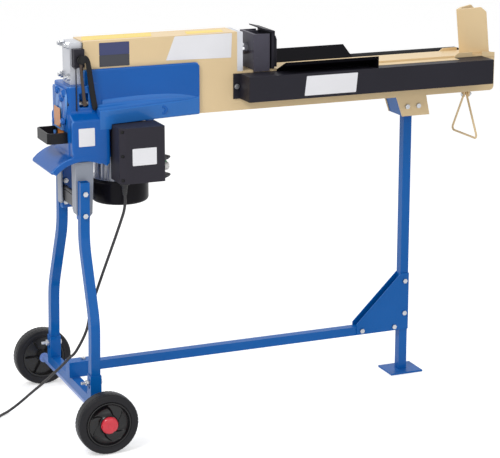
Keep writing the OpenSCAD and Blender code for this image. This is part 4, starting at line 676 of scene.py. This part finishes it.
# ---- The leaf-shaped lips of the casting -------------------------------------------------
# On each side a lip stands out from the cheek. Its rim and the cheek's ridge run together to
# a point at the front, and two soft steps lie in the hollow between. A boss takes a side screw.
along_rim = np.array([[59, 791.3], [106, 792], [160, 792.8], [194, 793.8], [240, 794.9], [289, 796], [312, 798],
    [326, 801.5]])
along_ridge = np.array([[59, 807.6], [90, 810.8], [123, 812.8], [168, 814.4], [199, 814.6], [245, 813.6], [275, 811],
    [300, 806.9], [316, 803.4], [326, 801.5]])
steps_at = np.array([0, 0.05, 0.10, 0.17, 0.27, 0.32, 0.38, 0.46, 0.70, 0.77, 0.83, 0.89, 0.95, 1.0])
steps_rise = np.array([0, 0, 0, 0.05, 0.24, 0.29, 0.27, 0.32, 0.50, 0.57, 0.56, 0.64, 0.86, 1.0])
steps_lift = np.array([0, 0.8, -0.6, -3.2, -0.8, 0.7, -1.7, -2.2, -1.6, 0.8, -2.4, -2.4, 0.0, 1.0])


def leaf_lip(side):
    """Closed lip: at each station x a section runs up the outer face, over the rim, across the hollow to the
    cheek's ridge and back inside. The hollow's height is rim + rise(s) x (ridge - rim) + lift(s)."""
    x = np.linspace(59, 326, 180)[:, None]
    out = 84 - (np.clip(x, 81, 325) - 81) / 244 * 33.7
    rim, ridge = np.interp(x, *along_rim.T), np.interp(x, *along_ridge.T)
    s = np.linspace(0, 1, 64)[None]
    blur = np.hanning(7) / np.hanning(7).sum()
    smooth = lambda v: np.convolve(np.pad(np.interp(s[0], steps_at, v), 3, mode="edge"), blur, mode="valid")[None]
    fade = np.clip((322 - x) / 90, 0, 1)
    y = out - 2 - (out - 50.2) * s
    z = rim + (ridge - rim) * smooth(steps_rise) + 1.35 * smooth(steps_lift) * fade
    low = np.where(x < 88, 744.0, 755.6 + 3.6 * (x - 90) / 236)
    turn = np.linspace(0, pi / 2, 6)[None]
    face_y = np.concatenate([out - 2, out - 0.4, out + 0.1, out + 0.1, out - 1.6 + 2.2 * np.cos(turn)], 1)
    face_z = np.concatenate([low, low + 0.4, low + 2, rim - 6, rim - 2 + 2.4 * np.sin(turn)], 1)
    back_y = np.concatenate([np.full_like(x, 47.2), np.full_like(x, 44.0), np.full_like(x, 44.0)], 1)
    back_z = np.concatenate([ridge + 0.3, ridge - 2, low], 1)
    ring = np.stack(np.broadcast_arrays(x, side * np.concatenate([face_y, y, back_y], 1),
                                        np.concatenate([face_z, z, back_z], 1)), -1)
    skin = ring_skin(*ring.shape[:2])
    return at(*ring.reshape(-1, 3).T), skin if side > 0 else [f[::-1] for f in skin]


# the lips get a lighter copy of the casting's paint, to brighten their shaded outer faces: painted light
lip_blue_painted_light = finish("lip_paint_painted_light", srgb(40, 112, 192), srgb(90, 140, 200), gloss=0.4, patch=6, drift=0.12, grain_scale=240,
    grain=0.6, scuffs=0.02, dust=0.02, coat=0.4, bump=0.00018, shine=0.1)
for side, word in ((-1, "near"), (1, "far")):
    points, faces = leaf_lip(side)
    add("leaf_lip_" + word, points, faces, "machine", lip_blue_painted_light, 60)
ring = rounded_outline([[-4, 4.4], [-4, 11.6], [1.6, 11.6], [2.4, 10.6], [2.4, 5.2], [1.8, 4.5], [-3.5, 4.4],
    [-3.5, 0.02]], 0.7)
screw_place, screw_way = (227, -62.4, 777.5), (-0.137, -1, 0)
turned_piece("side_screw_boss", ring[1:], screw_place, screw_way, "machine", cast_blue)
# nearly black steel for the lever pivot and the box screws; in the side screw's boss the same near-black head also
# stands for the shade down in the hole: partly a real black screw, partly painted shade
deep_black_and_hole_shade = finish("blackened_steel_and_hole_shade", srgb(8, 8, 10), srgb(40, 40, 44), gloss=0.5, metal=0.3, scuffs=0.1)
turned_piece("side_screw_head_and_hole_shade", [[-2.6, 0.02], [-2.6, 4.5], [-2.0, 4.5], [-2.0, 2.6], [-3.3, 2.4], [-3.3, 0.02]],
             screw_place, screw_way, "machine", deep_black_and_hole_shade, 6, 30)
# cover over the valve's end: a cast plate with a raised boss at each screw, all under the paint
worked("end_cover", 2.4, 3, finish=cast_blue)
for i, (y, z, r) in enumerate(((-40, 832, 8.5), (12, 832, 8.5), (-20, 817, 8.5), (40, 750, 7.5), (-30, 762, 7.5))):
    outline = rounded_outline([[-6, 0.02], [-6, r + 1.5], [-1.0, r + 1.0], [1.8, r - 1.0], [3.0, r - 3.5], [3.1, 3.4],
        [2.5, 3.0], [2.5, 0.02]], 1.6)
    turned_piece(f"cover_boss_{i}", outline, (-20, y, z), (-1, 0, 0), "machine", cast_blue, 32, 50)
screws = worked("cover_screws", 0.5, 2, finish=deep_black_and_hole_shade)
screws.data.materials.append(cast_blue)
middle = np.empty(len(screws.data.polygons) * 3)
screws.data.polygons.foreach_get("center", middle)
screws.data.polygons.foreach_set("material_index", (middle.reshape(-1, 3)[:, 1] > -0.1).astype(int))

# ---- The control lever -------------------------------------------------------------------
# A black pressed-steel blade bent to fit the hand turns on a shoulder bolt through a black
# plastic block, and its thin steel arm reaches down through the casting's slot to the valve.
lever_black = finish("lever_coat", srgb(14, 14, 18), srgb(70, 68, 68), gloss=0.4, scuffs=0.08, coat=0.05,
    shine=0.2, dust=0.03)
arm_steel = finish("lever_arm_steel", srgb(74, 62, 54), srgb(120, 106, 92), gloss=0.42, metal=0.45, drift=0.3,
    scuffs=0.2)
box_black = finish("box_plastic", srgb(46, 44, 52), srgb(64, 63, 68), gloss=0.5, grain_scale=1600, grain=0.5,
    scuffs=0.04, dust=0.02, shine=0.15)


def flat_bar(line, half, y0, y1, rows=16):
    """Bar lying in an upright plane: half(share) is its half-width square to the line, and its section is a
    superellipse of power four between the planes y0 and y1."""
    line = np.asarray(line, float)
    step = np.gradient(line, axis=0)
    step /= np.linalg.norm(step, axis=1)[:, None]
    square = np.stack([-step[:, 1], step[:, 0]], -1)
    u = np.linspace(0, 2 * pi, rows, endpoint=False)[None]
    wide = np.asarray(half, float)[:, None] * np.sign(np.cos(u)) * np.abs(np.cos(u)) ** 0.5
    y = (y0 + y1) / 2 + (y1 - y0) / 2 * np.sign(np.sin(u)) * np.abs(np.sin(u)) ** 0.5
    spots = at(line[:, :1] + wide * square[:, :1], y + 0 * wide, line[:, 1:] + wide * square[:, 1:])
    return spots.reshape(-1, 3), [f[::-1] for f in ring_skin(len(line), rows)]


flat = lambda pts, steps: smooth_line(np.array([[a, 0, b] for a, b in pts], float), steps)[:, [0, 2]]
run = flat([[25, 919], [32, 918], [37.6, 910], [40.6, 893], [43.2, 872], [45.6, 851], [48.4, 830], [51.2, 812],
    [53.4, 799], [54.8, 790]], 8)
share = np.linspace(0, 1, len(run))
half = np.interp(share, [0, 0.1, 0.25, 0.6, 0.92, 1.0], [2.0, 5.4, 6.0, 7.2, 7.0,
    5.6]) * np.sqrt(np.clip((1.012 - share) / 0.05, 0.03, 1))
blade = add("hand_blade", *flat_bar(run, half, -64.4, -60.7), "lever", lever_black, 50)
run = flat([[22.6, 914], [22.2, 896], [23.4, 876], [25.6, 850], [27.8, 826], [29.6, 808], [30.6, 801]], 8)
share = np.linspace(0, 1, len(run))
half = np.interp(share, [0, 0.7, 0.9, 1], [3.4, 3.8, 5.6, 5.4]) * np.sqrt(np.clip((1.02 - share) / 0.05, 0.05, 1))
add("valve_arm", *flat_bar(run, half, -60.3, -57.7), "lever", arm_steel, 50)
hub_outline = rounded_outline([[0, 0.02], [0, 10], [3.2, 10], [3.2, 8.8], [9, 8.8], [9, 10.4], [15.1, 10.4],
    [15.6, 8.6], [15.6, 0.02]], 0.7)
knurl = lambda d, a: np.where((d > 3.3) & (d < 8.9), 0.5 * np.cos(a * 16), 0.0)
turned_piece("lever_hub", hub_outline, (24, -49.1, 912), (0, -1, 0), "lever", lever_black, scallop=knurl)
pin_outline = rounded_outline([[-6, 0.02], [-6, 2.4], [12.2, 2.4], [12.6, 2.0], [12.6, 0.02]], 0.4)
turned_piece("drive_pin", pin_outline, (34, -46.8, 806), (0, -1, 0), "lever", arm_steel, 24)
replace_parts(blade, "control_lever")
worked("lever_pivot", 0.7, 3, finish=deep_black_and_hole_shade)
worked("lever_block", 1.5, 3, finish=box_black)

# ---- The fan cover -----------------------------------------------------------------------
# A deep-drawn steel cup over the fan, painted a glossy black, with a rolled lip round its
# mouth, a rounded lower edge and three rings of air slots through its floor.
cover_gloss = finish("fan_cover_paint", srgb(14, 13, 19), srgb(60, 60, 66), gloss=0.32, patch=8, drift=0.15,
    scuffs=0.05, dust=0.01, coat=0.04, grain=0.2, shine=0.08)
turn = np.linspace(0, pi / 2, 7)
path_r = np.concatenate([np.linspace(0.5, 62, 42), 61.5 + 8.4 * np.sin(turn[1:]), [69.9, 69.9, 69.9, 70.9, 70.9, 69.9]])
path_z = np.concatenate([np.full(42, 549.6), 549.6 + 8.4 * (1 - np.cos(turn[1:])), [575, 598, 602.8, 604,
    608.4, 609.4]])
a = np.radians(np.arange(0, 360, 3.0))
rings, turns = len(path_r), len(a)
i, k = np.meshgrid(np.arange(rings - 1), np.arange(turns), indexing="ij")
mid_r = (path_r[i] + path_r[i + 1]) / 2
off = (np.degrees(a[k]) + 1.5 + 15) % 30 - 15
slot_here = ((np.abs(mid_r % 15 - 10.5) < 5.3) & (mid_r > 20) & (mid_r < 62)) & (np.abs(np.radians(off)) * mid_r < 2.6)
quads = np.stack([i * turns + k, (i + 1) * turns + k, (i + 1) * turns + (k + 1) % turns, i * turns + (k + 1) % turns],
    -1)[~slot_here]
spots = at(134 + path_r[:, None] * np.cos(a)[None], path_r[:, None] * np.sin(a)[None], path_z[:, None])
cup = add("fan_cover_cup", spots, quads, "machine", cover_gloss, 50)
wall = cup.modifiers.new("sheet", "SOLIDIFY")
wall.thickness, wall.offset = 0.0016, 0.0
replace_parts(cup, "fan_cover")

# ---- The rest in its finishes ------------------------------------------------------------
# The finned motor body with the rotor, fan and pump gears inside it, the valve's spool, the
# strap to lift the machine by, and the moulded switch box with a button at each finger guard.
green = finish("start_green", srgb(42, 150, 90), srgb(90, 180, 130), gloss=0.3, scuffs=0.1)
white = finish("stop_white", srgb(232, 232, 230), srgb(200, 200, 196), gloss=0.3, scuffs=0.1)
for node, width, skin in (("motor_body", 0.8, machined), ("valve_spool", 0.4, steel),
        ("strap_handle", 0.9, lever_black), ("motor_bearings", 0.4, steel), ("rotor_shaft", 0.5, steel),
        ("fan", 0.4, box_black), ("pump_drive_gear", 0.3, steel), ("pump_driven_gear", 0.3, steel),
        ("switch_box", 1.6, box_black), ("box_lid", 2.0, box_black)):
    worked(node, width, 3, finish=skin)
for word, y, reach, skin in (("start", -88.0, 23.0, green), ("stop", -109.0, 20.0, white)):
    outline = rounded_outline([[-4.8, 0.02], [-4.8, 8.3], [4.6, 8.3], [4.9, 9.6], [reach - 3, 9.6], [reach - 0.8, 8.2],
        [reach, 5.0], [reach, 0.02]], 1.2)
    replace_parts(turned_piece(word + "_push", outline, (203, y, 649), (1, 0, 0), word, skin), word + "_button")
for word, z in (("low", 625.0), ("high", 669.0)):
    edge = rounded_outline([[202, -100], [202, -70], [222, -76], [230.5, -90], [230.5, -103], [218, -122], [202, -137],
        [202, -100]], 5, 5)[:-1]
    m = len(edge)
    k = np.arange(m)
    spots = np.concatenate([np.column_stack([edge * [1, 1], np.full(m, z - 0.2)]),
        np.column_stack([edge, z + 3.2 - 1.6 * np.clip((edge[:, 0] - 205) / 25, 0, 1)])])
    skirt = np.stack([k, k + m, (k + 1) % m + m, (k + 1) % m], -1).tolist()
    add("finger_guard_" + word, at(*spots.T), skirt + [list(range(m)), list(range(m, 2 * m))[::-1]], "machine",
        box_black, 30)
frame["nodes"]["return_spring"].data.materials.clear()
frame["nodes"]["return_spring"].data.materials.append(steel)

# ---- The pull handle ---------------------------------------------------------------------
# A triangle of 6 mm wire, bent round a pin under the beam's end and powder-coated with it.
half_w, drop, corner, eye = 64.0, 107.0, 8.0, 5.9
lean = atan2(drop - corner, half_w - corner)
arc = lambda cy, cz, r, a0, a1, n: np.stack([np.full(n + 1, 1098.0), cy + r * np.cos(np.linspace(a0, a1, n + 1)),
                                             742.7 + cz + r * np.sin(np.linspace(a0, a1, n + 1))], -1)
line = np.vstack([arc(0, 0, eye, pi / 2, pi / 2 - lean, 12), arc(half_w - corner, corner - drop, corner, pi / 2 - lean,
    -pi / 2, 20), arc(corner - half_w, corner - drop, corner, 1.5 * pi, pi / 2 + lean, 20),
    arc(0, 0, eye, pi / 2 + lean, pi / 2 + radians(10), 12)])
points, faces, uv = tube(at(*line.T), 0.00285, 16)
pull = add("pull_wire", points, faces, "pull_handle", tan_coat, 50, uv)
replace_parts(pull, "wire_handle")

# ---- Bare plates and bands ---------------------------------------------------------------
# Thin films stuck on the casing, block, lid, rail and cover, all left without any print: a
# two-tone plate, a slanted white one, small white ones, an orange one and yellow bands on top.


def film(name, corners, skin, round_by=2.0, stand=0.35):
    """Flat film from three or four corners in turn: its corners are rounded and it stands a little off the surface."""
    c = np.asarray(corners, float)
    normal = np.cross(c[1] - c[0], c[2] - c[1])
    normal /= np.linalg.norm(normal)
    edge = rounded_outline(np.vstack([(c[-1] + c[0]) / 2, c, (c[-1] + c[0]) / 2]), round_by, 5)[:-1]
    m = len(edge)
    spots = np.vstack([edge - normal * 0.1, edge + normal * stand])
    k = np.arange(m)
    skirt = np.stack([k, (k + 1) % m, (k + 1) % m + m, k + m], -1).tolist()
    made = add(name, at(*spots.T), skirt + [list(range(m))[::-1], list(range(m, 2 * m))], "machine", skin, 30)
    return made


printed = lambda name, colour, gloss=0.32: finish(name, colour, srgb(150, 150, 150), gloss=gloss, patch=14, drift=0.05,
    grain_scale=2200, grain=0.12, scuffs=0.05, dust=0.03, coat=0.15)
film_white = printed("film_white", srgb(232, 232, 236))
film_navy = printed("film_navy", srgb(50, 58, 104))
film_anthracite = printed("film_anthracite", srgb(52, 54, 62))
film_yellow = printed("film_yellow", srgb(236, 204, 32))
film_orange = printed("film_orange", srgb(196, 118, 40))
film("plate_upper", [[74.5, -40.3, 917], [150.4, -40.3, 917], [150.4, -40.3, 947], [74.5, -40.3, 947]], film_navy)
film("plate_lower", [[74.5, -40.3, 889], [150.4, -40.3, 889], [150.4, -40.3, 917.2], [74.5, -40.3, 917.2]],
    film_anthracite)
film("plate_slanted", [[244, -40.3, 894], [414.6, -40.3, 890.4], [417, -40.3, 951.2], [267, -40.3, 951.6]], film_white)
film("plate_block", [[5, -84.4, 707.5], [45, -84.4, 707.5], [45, -84.4, 751.5], [5, -84.4, 751.5]], film_white)
film("plate_lid", [[120, -141.1, 663], [181, -141.1, 663], [181, -141.1, 704.5], [120, -141.1, 704.5]], film_white)
film("plate_rail", [[585, -105.1, 793.5], [726, -105.1, 793.5], [731, -105.1, 842.5], [591, -105.1, 842.5]], film_white)
film("band_top_long", [[36, -22, 953.1], [214, -22, 953.1], [232, 33, 953.1], [54, 33, 953.1]], film_yellow)
film("band_top_short", [[305, -24, 953.1], [400, -24, 953.1], [408, 12, 953.1], [313, 12, 953.1]], film_yellow)
film("plate_cover", [[-20.2, 31, 745], [-20.2, -19, 745], [-20.2, -19, 792], [-20.2, 31, 792]], film_orange)
film("plate_end", [[-12.3, 34, 708], [-12.3, -33, 708], [-12.3, -33, 736], [-12.3, 34, 736]], film_orange)

# ---- The studio --------------------------------------------------------------------------
# A pale floor under an even white surround, a broad lamp over the motor end and a weaker one
# in front, so that a colour shows about as it is mixed.
floor = add("floor", [[-9, -9, -0.0005], [9, -9, -0.0005], [9, 9, -0.0005], [-9, 9, -0.0005]], [[0, 1, 2, 3]],
    None, None)
pale = bpy.data.materials.new("pale_floor")
pale.use_nodes = True
lit = pale.node_tree.nodes["Principled BSDF"]
lit.inputs["Base Color"].default_value = (0.9, 0.9, 0.9, 1)
lit.inputs["Roughness"].default_value, lit.inputs["Specular IOR Level"].default_value = 0.9, 0.1
lit.inputs["Emission Color"].default_value = (1, 1, 1, 1)
seen = pale.node_tree.nodes.new("ShaderNodeLightPath")
pale.node_tree.links.new(maths(pale.node_tree, "MULTIPLY", maths(pale.node_tree, "MAXIMUM",
    seen.outputs["Is Camera Ray"], seen.outputs["Is Glossy Ray"]), 0.45), lit.inputs["Emission Strength"])
floor.data.materials.append(pale)
world = bpy.data.worlds.new("surround")
bpy.context.scene.world = world
world.use_nodes = True
sky = world.node_tree
seen = sky.nodes.new("ShaderNodeLightPath")
shown = maths(sky, "MAXIMUM", maths(sky, "MAXIMUM", seen.outputs["Is Camera Ray"], seen.outputs["Is Glossy Ray"]),
              seen.outputs["Is Transmission Ray"])
level = maths(sky, "ADD", maths(sky, "MULTIPLY", shown, 0.42), 0.58)
sky.links.new(level, sky.nodes["Background"].inputs["Strength"])
sky.nodes["Background"].inputs["Color"].default_value = (1, 1, 1, 1)
for name, place, size, power in (("over_motor_end", (-2.4, -1.6, 3.0), 1.2, 50.0), ("front", (0.6, -4.0, 1.6), 2.4,
        18.0), ("above", (0.3, 0.9, 2.9), 0.5, 16.0)):
    lamp = bpy.data.objects.new(name, bpy.data.lights.new(name, "AREA"))
    lamp.data.size, lamp.data.energy = size, power
    lamp.location = place
    lamp.rotation_euler = (Vector((0, 0, 0.6)) - Vector(place)).to_track_quat("-Z", "Y").to_euler()
    bpy.context.scene.collection.objects.link(lamp)
